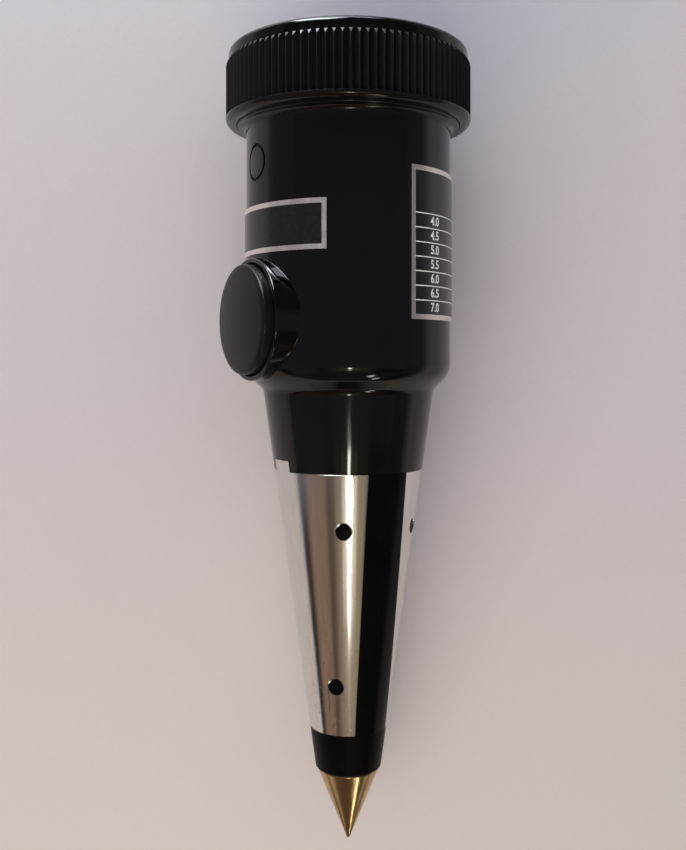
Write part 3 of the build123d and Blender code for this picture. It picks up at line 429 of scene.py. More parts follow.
numberWhite = mottled("whitePrint", (0.86, 0.85, 0.83), (0.78, 0.77, 0.75), (0.34, 0.46), (3000, 3))
slotNames = {piece["node"]: piece["material_slot"] for piece in frame["record"]["subparts"]}
for name, node in frame["nodes"].items():  # every carried-over node takes the finish of its slot
    for place in node.material_slots:
        place.material = looks[slotNames[name]]
print("finishes made:", len(looks))


# housing moulding
housing = {
    "coneTop": 91.9, "barrelBase": 95.2, "collar": 145.2, "coneEndRadius": 6.65, "coneTopRadius": 17.4,
    "barrelRadius": 20.85, "neckRadius": 22.7, "boreRadius": 18.4, "boreRise": 2.0, "chamberRadius": 20.0,
    "chamberFloor": 148.4, "coneWall": 3.0, "cavityFloor": 27.0, "cavityDrop": 1.0, "insertRadius": 3.25,
    "shoulderRound": 5.0, "throatRound": 2.0, "endRound": 0.4, "neckRound": 0.2, "collarRun": 3.0,
    "collarFillet": 1.2, "collarRound": 0.3, "steps": 360,
    # where finishes meet
    "endBand": 23.3, "wornTop": 76.0, "wornSlack": 0.05, "collarDrop": 0.1, "collarSlack": 0.2,
}
coneEnd, neckTop = heights("housing")
coneSlope = (housing["coneTopRadius"] - housing["coneEndRadius"]) / (housing["coneTop"] - coneEnd)


def coneRadius(z):
    return housing["coneEndRadius"] + (z - coneEnd) * coneSlope


skinLine = roundedOutline([
    (housing["insertRadius"], coneEnd, 0),
    (housing["coneEndRadius"], coneEnd, housing["endRound"]),
    (coneRadius(housing["endBand"]), housing["endBand"], 0),
    (coneRadius(housing["wornTop"]), housing["wornTop"], 0),
    (housing["coneTopRadius"], housing["coneTop"], housing["throatRound"]),
    (housing["barrelRadius"], housing["barrelBase"], housing["shoulderRound"]),
    (housing["barrelRadius"], housing["collar"] - housing["collarRun"], 0),
], turnPerStep=3.0)


def skinRadius(z):  # radius of the moulding's outside at a height
    for (r0, z0), (r1, z1) in zip(skinLine[1:], skinLine[2:]):
        if z0 <= z <= z1 and z1 > z0:
            return r0 + (r1 - r0) * (z - z0) / (z1 - z0)
    return housing["barrelRadius"]


housingPiece = turnPiece("mouldedHousing", skinLine + roundedOutline([
    (housing["barrelRadius"], housing["collar"] - housing["collarRun"], 0),
    (housing["barrelRadius"], housing["collar"], housing["collarFillet"]),
    (housing["neckRadius"], housing["collar"], housing["collarRound"]),
    (housing["neckRadius"], neckTop, housing["neckRound"]),
    (housing["chamberRadius"], neckTop, housing["neckRound"]),
    (housing["chamberRadius"], housing["chamberFloor"], 0),
    (housing["boreRadius"], housing["chamberFloor"], 0),
    (housing["boreRadius"], housing["barrelBase"] + housing["boreRise"], 0),
    (housing["coneTopRadius"] - housing["coneWall"], housing["coneTop"] - housing["cavityDrop"], 0),
    (coneRadius(housing["cavityFloor"]) - housing["coneWall"], housing["cavityFloor"], 0),
    (housing["insertRadius"], housing["cavityFloor"], 0),
    (housing["insertRadius"], coneEnd, 0),
]), housing["steps"])

# button boss with its well
boss = {"radius": 11.95, "face": 22.3, "wall": 0.95, "rootRound": 0.25, "rimRound": 0.4, "innerRound": 0.2,
        "wellBase": 16.8, "wellMouth": 30.0, "wellSteps": 96, "sink": 0.2, "stub": 1.2, "arcSteps": 9,
        "ballSteps": 60, "tail": 1.2, "tailSink": 0.02, "steps": 288}
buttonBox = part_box("button_cap")
buttonZ = (buttonBox[0].z + buttonBox[1].z) / 2 / mm
buttonPlace, buttonOut = (0, 0, buttonZ * mm), (0, -1, 0)
wellRadius = boss["radius"] - boss["wall"]
cutOut(housingPiece, turnPiece("wellCutter", [
    (0, boss["wellBase"]), (wellRadius, boss["wellBase"]),
    (wellRadius, boss["wellMouth"]), (0, boss["wellMouth"]),
], boss["wellSteps"], buttonPlace, buttonOut))

# the skirt rings are turned first at stand-in depths, then laid on to the barrel
rimLine = roundedOutline([
    (wellRadius, boss["wellBase"] - boss["sink"], 0), (wellRadius, boss["face"], boss["innerRound"]),
    (boss["radius"], boss["face"], boss["rimRound"]), (boss["radius"], boss["face"] - boss["stub"], 0),
], turnPerStep=15)[:-1]
skirtLine = [(boss["radius"] + k, -k) for k in range(1, boss["arcSteps"] + 3)]
bossPiece = turnPiece("buttonBoss", rimLine + skirtLine, boss["steps"], buttonPlace, buttonOut)
fillet, ballPath = boss["rootRound"], boss["radius"] + boss["rootRound"]


def skinReach(rho, turn):  # how far the moulding stands out in front, beside the boss
    x, z = rho * cos(turn), rho * sin(turn) + buttonZ
    return sqrt(max(0.0, skinRadius(z) ** 2 - x ** 2))


def rolledFillet(turn):  # a ball rolled round the boss: height of its middle, angle where it leaves the skin
    best, leaves = -1.0, 0.0
    for k in range(boss["ballSteps"] + 1):
        angle = -pi + pi * k / boss["ballSteps"]
        height = skinReach(ballPath + fillet * cos(angle), turn) - fillet * sin(angle)
        if height > best:
            best, leaves = height, angle
    return best, leaves


fillets = {}
for vertex in bossPiece.data.vertices:
    x, reach, z = vertex.co.x / mm, -vertex.co.y / mm, vertex.co.z / mm - buttonZ
    if reach > 0:  # the rim is in place already, the skirt stands in at -1 and below
        continue
    row = round(-reach) - 1
    turn = atan2(z, x)
    spoke = round(turn, 4)
    if spoke not in fillets:
        fillets[spoke] = rolledFillet(turn)
    height, leaves = fillets[spoke]
    if row <= boss["arcSteps"]:
        angle = -pi + (leaves + pi) * row / boss["arcSteps"]
        rho, out = ballPath + fillet * cos(angle), height + fillet * sin(angle)
    else:
        rho = ballPath + fillet * cos(leaves) + boss["tail"]
        out = skinReach(rho, turn) - boss["tailSink"]
    vertex.co = Vector((rho * cos(turn), -out, rho * sin(turn) + buttonZ)) * mm
shade(bossPiece)
print("housing turned, boss laid on")

# screw thread on the neck, under the ring
thread = {"pitch": 2.0, "depth": 0.45, "over": 0.3, "halfMouth": 1.105, "start": 147.2, "turns": 2.75,
          "stepsPerTurn": 90}
deselectAll()
bpy.ops.mesh.primitive_circle_add(vertices=3, radius=mm)
threadCutter = takeNew("threadCutter")
grooveFoot, grooveMouth = housing["neckRadius"] - thread["depth"], housing["neckRadius"] + thread["over"]
corners = [(grooveFoot, 0), (grooveMouth, thread["halfMouth"]), (grooveMouth, -thread["halfMouth"])]
for vertex, (r, rise) in zip(threadCutter.data.vertices, corners):
    vertex.co = Vector((r, 0, thread["start"] + rise)) * mm
windScrew(threadCutter, "Z", thread["turns"], thread["pitch"] * thread["turns"], thread["stepsPerTurn"])
cutOut(housingPiece, threadCutter)
print("thread cut:", thread["turns"], "turns")


# electrode plates, bedded flush in the cone
plates = {
    "front": (-90.0, 75.0, 69.5), "rear": (90.0, 71.5, 47.0),  # facing, half turn at the top and at the base
    "base": 23.4, "top": 75.9, "tabTop": 78.1, "tabWidth": 5.8, "thickness": 0.8, "gap": 0.03, "edge": 0.06,
    "edgeSteps": 2, "edgeSharper": 40, "crease": 50, "pocketOver": 0.6, "facets": 720,
    "stakeRadius": 1.55, "stakeInset": 4.2, "stakeRises": (10.0, 41.3), "stakeRound": 0.15,
    "stakeDome": 0.08, "stakePlay": 0.02, "stakeDepth": 1.2, "recess": 0.3, "flare": 0.18,
    "flareOver": 0.15, "drillReach": 3.0, "drillSteps": 48,
}


def plateShell(name, facing, topHalf, endHalf, outside, thickness, gap=0.0):
    base, top, shoulder = plates["base"] - gap, plates["tabTop"] + gap, plates["top"] + gap
    deselectAll()
    bpy.ops.mesh.primitive_cone_add(
        vertices=plates["facets"], end_fill_type="NOTHING", depth=(top - base) * mm,
        radius1=(coneRadius(base) + outside) * mm, radius2=(coneRadius(top) + outside) * mm,
        location=(0, 0, (base + top) / 2 * mm))
    piece = takeNew(name)
    editMode()
    for hand in (-1, 1):  # the two long edges
        upper = around(facing + hand * topHalf) * coneRadius(plates["top"]) + up * plates["top"]
        lower = around(facing + hand * endHalf) * coneRadius(plates["base"]) + up * plates["base"]
        outward = around(facing + hand * (topHalf + endHalf) / 2)
        square = (upper - lower).cross(outward).normalized() * hand
        slicePlane((lower + square * gap) * mm, square, clear_outer=True)
    slicePlane((0, 0, shoulder * mm), up)
    across, half = around(facing + 90), plates["tabWidth"] / 2 + gap
    for hand in (-1, 1):  # the tab stays, the rest of the top strip goes
        pickFaces(piece, lambda c, n: c.z > shoulder * mm)
        bpy.ops.mesh.bisect(plane_co=across * hand * half * mm, plane_no=across)
    pickFaces(piece, lambda c, n: c.z > shoulder * mm and abs(c.dot(across)) > half * mm)
    bpy.ops.mesh.delete(type="FACE")
    thicken(piece, thickness)
    return piece


def stakePlaces(facing, topHalf, endHalf):
    places = []
    for rise in plates["stakeRises"]:
        z = plates["base"] + rise
        half = endHalf + (topHalf - endHalf) * rise / (plates["top"] - plates["base"])
        turn = half - degrees(plates["stakeInset"] / coneRadius(z))
        places += [(around(facing + hand * turn), z) for hand in (-1, 1)]
    return places


stakes = []
hole, pin, over = plates["stakeRadius"], plates["stakeRadius"] - plates["stakePlay"], plates["pocketOver"]
flareEnd = plates["stakeRadius"] + plates["flare"] + plates["flareOver"]
for plateName, node in (("front", "front_electrode"), ("rear", "rear_electrode")):
    spec = plates[plateName]
    pocket = plateShell("pocket", *spec, over, plates["thickness"] + over + plates["gap"], plates["gap"])
    cutOut(housingPiece, pocket)
    plate = plateShell(plateName + "Plate", *spec, 0.0, plates["thickness"])
    for outward, z in stakePlaces(*spec):
        reach = coneRadius(z)
        inner, outer = reach - plates["drillReach"], reach + plates["drillReach"]
        cutOut(plate, turnPiece("drill", [
            (0, inner), (hole, inner), (hole, reach - plates["flare"]),
            (flareEnd, reach + plates["flareOver"]), (flareEnd, outer), (0, outer),
        ], plates["drillSteps"], (0, 0, z * mm), outward, up))
        head = reach - plates["recess"]
        stakes.append(turnPiece("stake", roundedOutline([
            (0, head + plates["stakeDome"], 0), (pin, head, plates["stakeRound"]),
            (pin, reach - plates["stakeDepth"], 0),
        ]), plates["drillSteps"], (0, 0, z * mm), outward, up))
    softenEdges(plate, plates["edge"], plates["edgeSteps"], plates["edgeSharper"])
    shade(plate, plates["crease"])
    applyModifier(plate, "WEIGHTED_NORMAL", weight=100, keep_sharp=True)  # wide faces reflect truly
    dress(plate, looks["electrode_metal"], "housing", "electrode_metal", node)
print("plates bedded:", len(stakes), "stakes")

# incised roundel on the barrel, left plain
roundel = {"z": 136.5, "outer": 3.65, "line": 0.62, "depth": 0.25, "cutFrom": 18.9, "cutOver": 2.0,
           "floorHalf": 6.0, "slack": 0.02, "floorSlack": 0.05, "steps": 96}
roundelInner, cutTo = roundel["outer"] - roundel["line"], housing["barrelRadius"] + roundel["cutOver"]
groove = turnPiece("roundelGroove", [
    (roundelInner, cutTo), (roundel["outer"], cutTo), (roundel["outer"], roundel["cutFrom"]),
    (roundelInner, roundel["cutFrom"]), (roundelInner, cutTo),
], roundel["steps"], (0, 0, roundel["z"] * mm), buttonOut)
floorRadius = housing["barrelRadius"] - roundel["depth"]
floorBase, floorTop = roundel["z"] - roundel["floorHalf"], roundel["z"] + roundel["floorHalf"]
cutOut(groove, turnPiece("roundelFloor", [
    (0, floorBase), (floorRadius, floorBase), (floorRadius, floorTop), (0, floorTop),
], housing["steps"]))
cutOut(housingPiece, groove)
dress(housingPiece, looks["black_moulding"], "housing", "black_moulding", "housing")
bossPiece.data.materials.append(looks["black_moulding"])
for stake in stakes:
    stake.data.materials.append(dullBlack)
joinPieces(housingPiece, [bossPiece] + stakes)
shade(housingPiece)
for finish in (handledBlack, wornBlack):
    housingPiece.data.materials.append(finish)
dullSlot, handledSlot, wornSlot = range(1, len(housingPiece.data.materials))  # the gloss is in slot 0
for face in housingPiece.data.polygons:  # cut line, end band, collar and worn cone are duller than the rest
    c = face.center / mm
    reach, across = hypot(c.x, c.y), hypot(c.x, c.z - roundel["z"])
    inLine = roundelInner - roundel["slack"] < across < roundel["outer"] + roundel["slack"]
    inGroove = inLine and c.y < 0 and reach < housing["barrelRadius"] - roundel["floorSlack"]
    underRing = c.z > housing["collar"] - housing["collarFillet"] - housing["collarDrop"]
    if inGroove or c.z < housing["endBand"]:
        face.material_index = dullSlot
    elif underRing and reach > housing["barrelRadius"] - housing["collarSlack"]:
        face.material_index = handledSlot
    elif c.z < housing["wornTop"] and reach > coneRadius(c.z) - housing["wornSlack"]:
        face.material_index = wornSlot
print("housing finished:", len(housingPiece.data.polygons), "faces")


# knurled ring
ring = {
    "boreRadius": 22.8, "skirtRadius": 25.0, "rootRadius": 23.8, "crestRadius": 24.95, "rimRadius": 24.45,
    "landRadius": 22.15, "funnelRadius": 19.2, "funnelBase": 158.2, "lipBase": 157.3, "knurlRise": 1.4,
    "knurlDrop": 2.55, "endHeight": 0.8, "rootSink": 0.004, "skirtRound": 1.2, "rimRound": 1.2,
    "edgeRound": 0.15, "stepRound": 0.05, "funnelRound": 0.12, "ridges": 100, "crestWidth": 0.1,
    "crestRound": 0.03, "crestSteps": 1, "crestSharper": 25, "crease": 24, "steps": 400, "facing": 0.9,
    "weld": 0.002,
    # where finishes meet
    "sheenLift": 0.3, "skirtDrop": 0.08, "edgeRise": 0.02, "boreSlack": 0.1,
}
ringBase, ringTop = heights("bezel_ring")
knurlBase, knurlTop = ringBase + ring["knurlRise"], ringTop - ring["knurlDrop"]
apothem = ring["rootRadius"] * cos(pi / ring["ridges"])
coreRadius = apothem - ring["rootSink"]
ringPiece = turnPiece("knurledRing", roundedOutline([
    (ring["boreRadius"], ringBase, ring["edgeRound"]), (ring["skirtRadius"], ringBase, ring["skirtRound"]),
    (ring["skirtRadius"], knurlBase, ring["stepRound"]),
    (coreRadius, knurlBase, 0), (coreRadius, knurlTop, 0),
    (ring["rimRadius"], knurlTop, ring["stepRound"]), (ring["rimRadius"], ringTop, ring["rimRound"]),
    (ring["landRadius"], ringTop, ring["edgeRound"]),
    (ring["funnelRadius"], ring["funnelBase"], ring["funnelRound"]),
    (ring["funnelRadius"], ring["lipBase"], 0), (ring["boreRadius"], ring["lipBase"], 0),
], closed=True), ring["steps"])
pitch = 2 * ring["rootRadius"] * sin(pi / ring["ridges"])
depth = ring["crestRadius"] - apothem
endSlope = ring["endHeight"] / (ring["crestRadius"] - ring["rimRadius"])  # of the facet that ends a ridge
crestTop = knurlTop - ring["endHeight"]
tall = crestTop + depth * endSlope - knurlBase
deselectAll()
bpy.ops.mesh.primitive_cube_add(size=mm, scale=(depth, pitch, tall),
                                location=((apothem + depth / 2) * mm, 0, (knurlBase + tall / 2) * mm))
ridge = takeNew("knurlRidge")
pickFaces(ridge, lambda c, n: n.x > ring["facing"])
bpy.ops.transform.resize(value=(1, ring["crestWidth"] / pitch, (crestTop - knurlBase) / tall),
                         center_override=(ring["crestRadius"] * mm, 0, knurlBase * mm))
pickFaces(ridge, lambda c, n: min(n.x, n.z) < -ring["facing"])  # the back and the foot
bpy.ops.mesh.delete(type="FACE")
pickMesh()
bpy.ops.mesh.spin(steps=ring["ridges"], dupli=True, angle=2 * pi, center=(0, 0, 0), axis=up)
pickMesh()
bpy.ops.mesh.remove_doubles(threshold=ring["weld"] * mm)
softenEdges(ridge, ring["crestRound"], ring["crestSteps"], ring["crestSharper"])
dress(ringPiece, looks["black_moulding"], "ring", "black_moulding", "bezel_ring")
for finish in (ridgeBlack, ridgeDull):
    ridge.data.materials.append(finish)
sheenSlot, dullSlot = range(len(ridge.data.materials))
for face in ridge.data.polygons:  # only the sloping ends keep their sheen
    face.material_index = sheenSlot if face.normal.z > ring["sheenLift"] else dullSlot
joinPieces(ringPiece, [ridge])
ringPiece.data.materials.append(handledBlack)
dullSlot, skirtSlot = range(2, len(ringPiece.data.materials))  # gloss and sheen are in slots 0 and 1
for face in ringPiece.data.polygons:  # the skirt is handled and has lost its gloss
    z, reach = face.center.z / mm, hypot(face.center.x, face.center.y) / mm
    outside = reach > ring["boreRadius"] + ring["boreSlack"]
    if outside and z < knurlBase - ring["skirtDrop"]:
        face.material_index = skirtSlot
    elif outside and z < knurlBase + ring["edgeRise"]:
        face.material_index = dullSlot
shade(ringPiece, ring["crease"])
print("ring knurled:", len(ringPiece.data.polygons), "faces")


# push button cap
cap = {"radius": 10.75, "crown": 24.95, "sag": 0.8, "domeSteps": 14, "domeShare": 0.98, "edgeRound": 0.7,
       "edgeDrop": 0.03, "edgeTurns": (10, 91, 8), "skirtBase": 19.6, "wall": 1.7, "underside": 22.75,
       "stemRadius": 2.5, "stemEnd": 11.0, "steps": 288}
domeRadius = (cap["radius"] ** 2 + cap["sag"] ** 2) / (2 * cap["sag"])
dome = []
for k in range(cap["domeSteps"] + 1):
    r = (cap["radius"] - cap["edgeRound"] * cap["domeShare"]) * k / cap["domeSteps"]
    dome.append((r, cap["crown"] - domeRadius + sqrt(domeRadius ** 2 - r ** 2)))
edgeRadius, edgeReach = cap["radius"] - cap["edgeRound"], dome[-1][1] - cap["edgeDrop"] - cap["edgeRound"]
edge = [(edgeRadius + cap["edgeRound"] * sin(radians(t)), edgeReach + cap["edgeRound"] * cos(radians(t)))
        for t in range(*cap["edgeTurns"])]
capInner = cap["radius"] - cap["wall"]
capPiece = turnPiece("buttonCap", dome + edge + [
    (cap["radius"], cap["skirtBase"]), (capInner, cap["skirtBase"]), (capInner, cap["underside"]),
    (cap["stemRadius"], cap["underside"]), (cap["stemRadius"], cap["stemEnd"]), (0, cap["stemEnd"]),
], cap["steps"], buttonPlace, buttonOut)
dress(capPiece, looks["button_plastic"], "button", "button_plastic", "button_cap")

# coil spring behind the cap
coil = {"meanRadius": 4.6, "wire": 0.8, "foot": 16.8, "turns": 3.0, "travel": 2.0, "sides": 12,
        "stepsPerTurn": 48, "crease": 40}
coilReach = cap["underside"] - coil["foot"]
deselectAll()
bpy.ops.mesh.primitive_circle_add(
    vertices=coil["sides"], radius=coil["wire"] / 2 * mm,
    location=(coil["meanRadius"] * mm, -(coil["foot"] + coil["wire"] / 2) * mm, 0))
springPiece = takeNew("buttonSpring")
windScrew(springPiece, "Y", coil["turns"], -(coilReach - coil["wire"]), coil["stepsPerTurn"])
bpy.ops.transform.translate(value=buttonPlace)
shade(springPiece, coil["crease"])
dress(springPiece, looks[slotNames["button_spring"]], "housing", slotNames["button_spring"], "button_spring")
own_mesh(springPiece)
print("spring wound:", len(springPiece.data.polygons), "faces")

# brass point
point = {"endRadius": 0.3, "endRound": 0.2, "spigotRadius": 2.0, "baseRound": 0.3, "steps": 240}
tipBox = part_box("probe_tip")
tipRadius, spigotTop = tipBox[1].x / mm, tipBox[1].z / mm
tipPiece = turnPiece("brassPoint", roundedOutline([
    (0, 0, 0), (point["endRadius"], 0, point["endRound"]), (tipRadius, coneEnd, point["baseRound"]),
    (point["spigotRadius"], coneEnd, 0), (point["spigotRadius"], spigotTop, 0), (0, spigotTop, 0),
]), point["steps"])
dress(tipPiece, looks["brass"], "housing", "brass", "probe_tip")

# window
window = {"chamfer": 0.3, "steps": 240}
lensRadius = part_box("lens")[1].x / mm
lensBase, lensTop = heights("lens")
flatRadius = lensRadius - window["chamfer"]
lensPiece = turnPiece("dialWindow", [
    (0, lensBase), (flatRadius, lensBase), (lensRadius, lensBase + window["chamfer"]),
    (lensRadius, lensTop - window["chamfer"]), (flatRadius, lensTop), (0, lensTop),
], window["steps"])
dress(lensPiece, looks["window_glass"], "window", "window_glass", "lens")
print("cap, point and window turned")


# label plates, bare apart from ruled lines and a column of plain numbers
labels = {"thickness": 0.3, "border": 0.95, "lineWidth": 0.2, "facets": 720, "skinSlack": 0.05,
          "nameStart": -139.0, "nameSweep": 98.0, "tableStart": 4.5, "tableSweep": 68.0,
          "firstLine": 9.0, "rowPitch": 2.76, "numbers": ("4.0", "4.5", "5.0", "5.5", "6.0", "6.5", "7.0"),
          "numberSize": 2.35, "numberTurn": 17.7, "numberRise": 0.012, "crease": 25}
labelRadius = housing["barrelRadius"] + labels["thickness"]


def labelPlate(name, node, start, sweep, lines=()):
    low, high = heights(node)
    deselectAll()
    bpy.ops.mesh.primitive_cylinder_add(
        vertices=labels["facets"], end_fill_type="NOTHING", radius=labelRadius * mm, depth=(high - low) * mm,
        location=(0, 0, (low + high) / 2 * mm))
    piece = takeNew(name)
    editMode()
    for turn, hand in ((start, -1), (start + sweep, 1)):
        slicePlane((0, 0, 0), around(turn + 90) * hand, clear_outer=True)
    inTurn, halfLine = degrees(labels["border"] / labelRadius), labels["lineWidth"] / 2
    fieldLow, fieldHigh = low + labels["border"], high - labels["border"]
    cuts = [fieldLow, fieldHigh]
    for line in lines:
        cuts += [high - line - halfLine, high - line + halfLine]
    for cut in cuts:
        slicePlane((0, 0, cut * mm), up)
    for turn in (start + inTurn, start + sweep - inTurn):
        slicePlane((0, 0, 0), around(turn + 90))
    thicken(piece, labels["thickness"])
    dress(piece, looks["label_aluminium"], "housing", "label_aluminium", node)
    for finish in (inkBlack, numberWhite):
        piece.data.materials.append(finish)
    inkSlot, lineSlot = range(1, len(piece.data.materials))  # the metal is in slot 0
    middle = around(start + sweep / 2)
    for face in piece.data.polygons:
        z = face.center.z / mm
        turn = degrees(middle.angle(Vector((*face.center.xy, 0))))
        outer = hypot(face.center.x, face.center.y) / mm > labelRadius - labels["skinSlack"]
        if outer and fieldLow < z < fieldHigh and turn < sweep / 2 - inTurn:
            ruled = any(abs(high - line - z) < halfLine for line in lines)
            face.material_index = lineSlot if ruled else inkSlot
    shade(piece, labels["crease"])


labelPlate("namePlate", "name_plate", labels["nameStart"], labels["nameSweep"])
rowLines = [labels["firstLine"] + k * labels["rowPitch"] for k in range(len(labels["numbers"]))]
labelPlate("tablePlate", "table_plate", labels["tableStart"], labels["tableSweep"], rowLines)


def flatNumber(text, size, rise, weight=0.02):  # text made a mesh, flat on the ground plane at the origin
    deselectAll()
    bpy.ops.object.text_add()
    piece = bpy.context.object
    piece.data.body, piece.data.size = text, size * mm
    piece.data.align_x, piece.data.align_y = "CENTER", "CENTER"
    piece.data.offset = weight * size * mm
    piece.data.extrude = rise * mm
    bpy.ops.object.convert(target="MESH")
    return piece


tableLabelTop = heights("table_plate")[1]
tableNumbers = []
for line, text in zip(rowLines, labels["numbers"]):
    piece = flatNumber(text, labels["numberSize"], labels["numberRise"])
    z = tableLabelTop - line - labels["rowPitch"] / 2
    for vertex in piece.data.vertices:  # wrapped round the barrel
        turn = labels["tableStart"] + labels["numberTurn"] + degrees(vertex.co.x / (labelRadius * mm))
        vertex.co = around(turn) * (labelRadius * mm + vertex.co.z) + up * (z * mm + vertex.co.y)
    tableNumbers.append(piece)
joinPieces(tableNumbers[0], tableNumbers[1:])
tableNumbers[0].name = "tableNumbers"
dress(tableNumbers[0], numberWhite, "housing", "label_aluminium")
print("labels made")


# printed dial face
dial = {"pivotY": -6.0, "restTurn": 135.0, "sweep": 90.0, "rise": 0.02, "arcRadius": 17.0, "arcWidth": 0.22,
        "arcFacets": 256, "ticks": 20, "longEvery": 5, "longTick": 1.9, "shortTick": 1.1, "tickWidth": 0.22,
        "numbers": ("7", "6", "5", "4", "3"), "numberRadius": 21.3, "numberSize": 2.9, "numberRise": 0.004,
        "lowArcRadius": 14.0, "lowTicks": 10, "lowNumbers": ("0", "2", "4", "6", "8", "10"),
        "lowNumberDrop": 2.3, "lowNumberSize": 1.7}
pivot = Vector((0, dial["pivotY"] * mm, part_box("dial_plate")[1].z + dial["rise"] * mm))
dialPrint = []


def dialTurn(share):  # where the needle stands at a share of its swing
    return dial["restTurn"] - dial["sweep"] * share


def dialArc(radius):
    deselectAll()
    bpy.ops.mesh.primitive_circle_add(vertices=dial["arcFacets"], radius=radius * mm, fill_type="NGON",
                                      location=pivot)
    piece = takeNew("dialArc")
    editMode()
    pickMesh()
    bpy.ops.mesh.inset(thickness=dial["arcWidth"] * mm)
    bpy.ops.mesh.delete(type="FACE")
    for turn, hand in ((dialTurn(0), -1), (dialTurn(1), 1)):
        slicePlane(pivot, around(turn - 90) * hand, clear_outer=True)
    objectMode()
    dialPrint.append(piece)


def dialTick(turn, start, length):
    deselectAll()
    bpy.ops.mesh.primitive_plane_add(size=mm)
    piece = bpy.context.object
    place = pivot + around(turn) * (start + length / 2) * mm
    piece.data.transform(Matrix.Translation(place) @ Matrix.Rotation(radians(turn), 4, "Z")
                         @ Matrix.Diagonal((length, dial["tickWidth"], 1, 1)))
    dialPrint.append(piece)


def dialNumber(text, turn, radius, size):
    piece = flatNumber(text, size, dial["numberRise"])
    place = pivot + around(turn) * radius * mm
    piece.data.transform(Matrix.Translation(place) @ Matrix.Rotation(radians(turn - 90), 4, "Z"))
    dialPrint.append(piece)


dialArc(dial["arcRadius"])
dialArc(dial["lowArcRadius"])
for k in range(dial["ticks"] + 1):
    tickLength = dial["shortTick"] if k % dial["longEvery"] else dial["longTick"]
    dialTick(dialTurn(k / dial["ticks"]), dial["arcRadius"], tickLength)
for k in range(dial["lowTicks"] + 1):
    dialTick(dialTurn(k / dial["lowTicks"]), dial["lowArcRadius"] - dial["shortTick"], dial["shortTick"])
lowNumberRadius = dial["lowArcRadius"] - dial["lowNumberDrop"]
for numbers, radius, size in ((dial["numbers"], dial["numberRadius"], dial["numberSize"]),
                              (dial["lowNumbers"], lowNumberRadius, dial["lowNumberSize"])):
    for k, text in enumerate(numbers):
        dialNumber(text, dialTurn(k / (len(numbers) - 1)), radius, size)
joinPieces(dialPrint[0], dialPrint[1:])
dialPrint[0].name = "dialScale"
dress(dialPrint[0], inkBlack, "housing", "dial_paint")
print("dial printed")


# table top behind the tester, seen only from its own side; the drift between its lower and upper colours is
# painted light, warm below and cool above
table = {"ringReach": 25.0, "ringZ": 146.7, "shoulderReach": 20.85, "shoulderZ": 98.0, "size": 2600.0,
         "lower": (0.56, 0.502, 0.472), "upper": (0.585, 0.558, 0.622), "paintedLightDrift": (-0.16, 0.035),
         "mottle": (0.46, 0.42, 0.43), "speck": (0.48, 0.44, 0.45), "roughness": 0.6}
lean = atan((table["ringReach"] - table["shoulderReach"]) / (table["ringZ"] - table["shoulderZ"]))
tableNormal = toCamera * cos(lean) + up * sin(lean)
deselectAll()
bpy.ops.mesh.primitive_plane_add(
    size=table["size"] * mm, location=(up * table["ringZ"] - toCamera * table["ringReach"]) * mm,
    rotation=tableNormal.to_track_quat("Z", "Y").to_euler())
tableTopPiece = bpy.context.object
tableTopPiece.name = "tableTop"
material, tree, shader = freshMaterial("paleTable", table["lower"], table["roughness"])
rise = spread(tree, reachAlong(tree, Vector((0, 1, 0))), 0, 1, *table["paintedLightDrift"])  # painted light: warm light below and cool light above, painted into the table's colour
paintedLightDrift = mixColours(tree, rise, table["lower"], table["upper"])
soft = mixColours(tree, spread(tree, pattern(tree, 14, 4), 0, 0.1), paintedLightDrift, table["mottle"])
specked = mixColours(tree, spread(tree, pattern(tree, 900, 2), 0, 0.2, 0.5, 0.8), soft, table["speck"])
tree.links.new(specked, shader.inputs["Base Color"])
see = tree.nodes.new("ShaderNodeBsdfTransparent")
facing = tree.nodes.new("ShaderNodeNewGeometry")
choose = tree.nodes.new("ShaderNodeMixShader")
tree.links.new(facing.outputs["Backfacing"], choose.inputs[0])
tree.links.new(shader.outputs[0], choose.inputs[1])
tree.links.new(see.outputs[0], choose.inputs[2])
tree.links.new(choose.outputs[0], tree.nodes["Material Output"].inputs["Surface"])
tableTopPiece.data.materials.append(material)


# light: an even pale world with a soft warm key, and small lamps that only show in the gloss
lights = {"aimHeight": 70.0, "world": (0.49, 0.495, 0.55)}
# each lamp: power, width, height and distance in metres, turn to the right, lift, colour
keyLamp = (4.7, 0.7, 0.7, 0.65, -24.0, -42.0, (1.0, 0.90, 0.74))
glossLamps = {
    "streakLamp": (0.45, 0.056, 0.069, 0.9, 2.0, -22.1, (1.0, 0.96, 0.86)),
    "lowStreakLamp": (0.125, 0.042, 0.103, 0.9, 2.0, -27.55, (1.0, 0.96, 0.86)),
    "haloLamp": (0.08, 0.36, 0.17, 0.92, 2.0, -25.9, (1.0, 0.88, 0.68)),
    "shoulderLamp": (0.38, 0.075, 0.16, 0.9, 36.0, -55.5, (1.0, 0.96, 0.86)),
    "windowLamp": (28.0, 0.75, 0.4, 1.0, -50.0, 61.0, (0.90, 0.94, 1.0)),
    "ceilingLamp": (5.0, 0.8, 0.25, 1.0, -32.0, 84.6, (0.95, 0.96, 1.0)),
    "pointLamp": (0.13, 0.035, 0.10, 0.7, 56.0, -65.0, (1.0, 0.95, 0.82)),
}
aim = Vector((0, 0, lights["aimHeight"] * mm))


def addLamp(name, power, width, tall, distance, turn, lift, colour):
    level = toCamera * cos(radians(turn)) + toRight * sin(radians(turn))
    away = level * cos(radians(lift)) + up * sin(radians(lift))
    deselectAll()
    bpy.ops.object.light_add(type="AREA", location=aim + away * distance,
                             rotation=away.to_track_quat("Z", "Y").to_euler())
    lamp = bpy.context.object
    lamp.name = name
    lamp.data.shape, lamp.data.size, lamp.data.size_y = "RECTANGLE", width, tall
    lamp.data.energy, lamp.data.color = power, colour
    return lamp


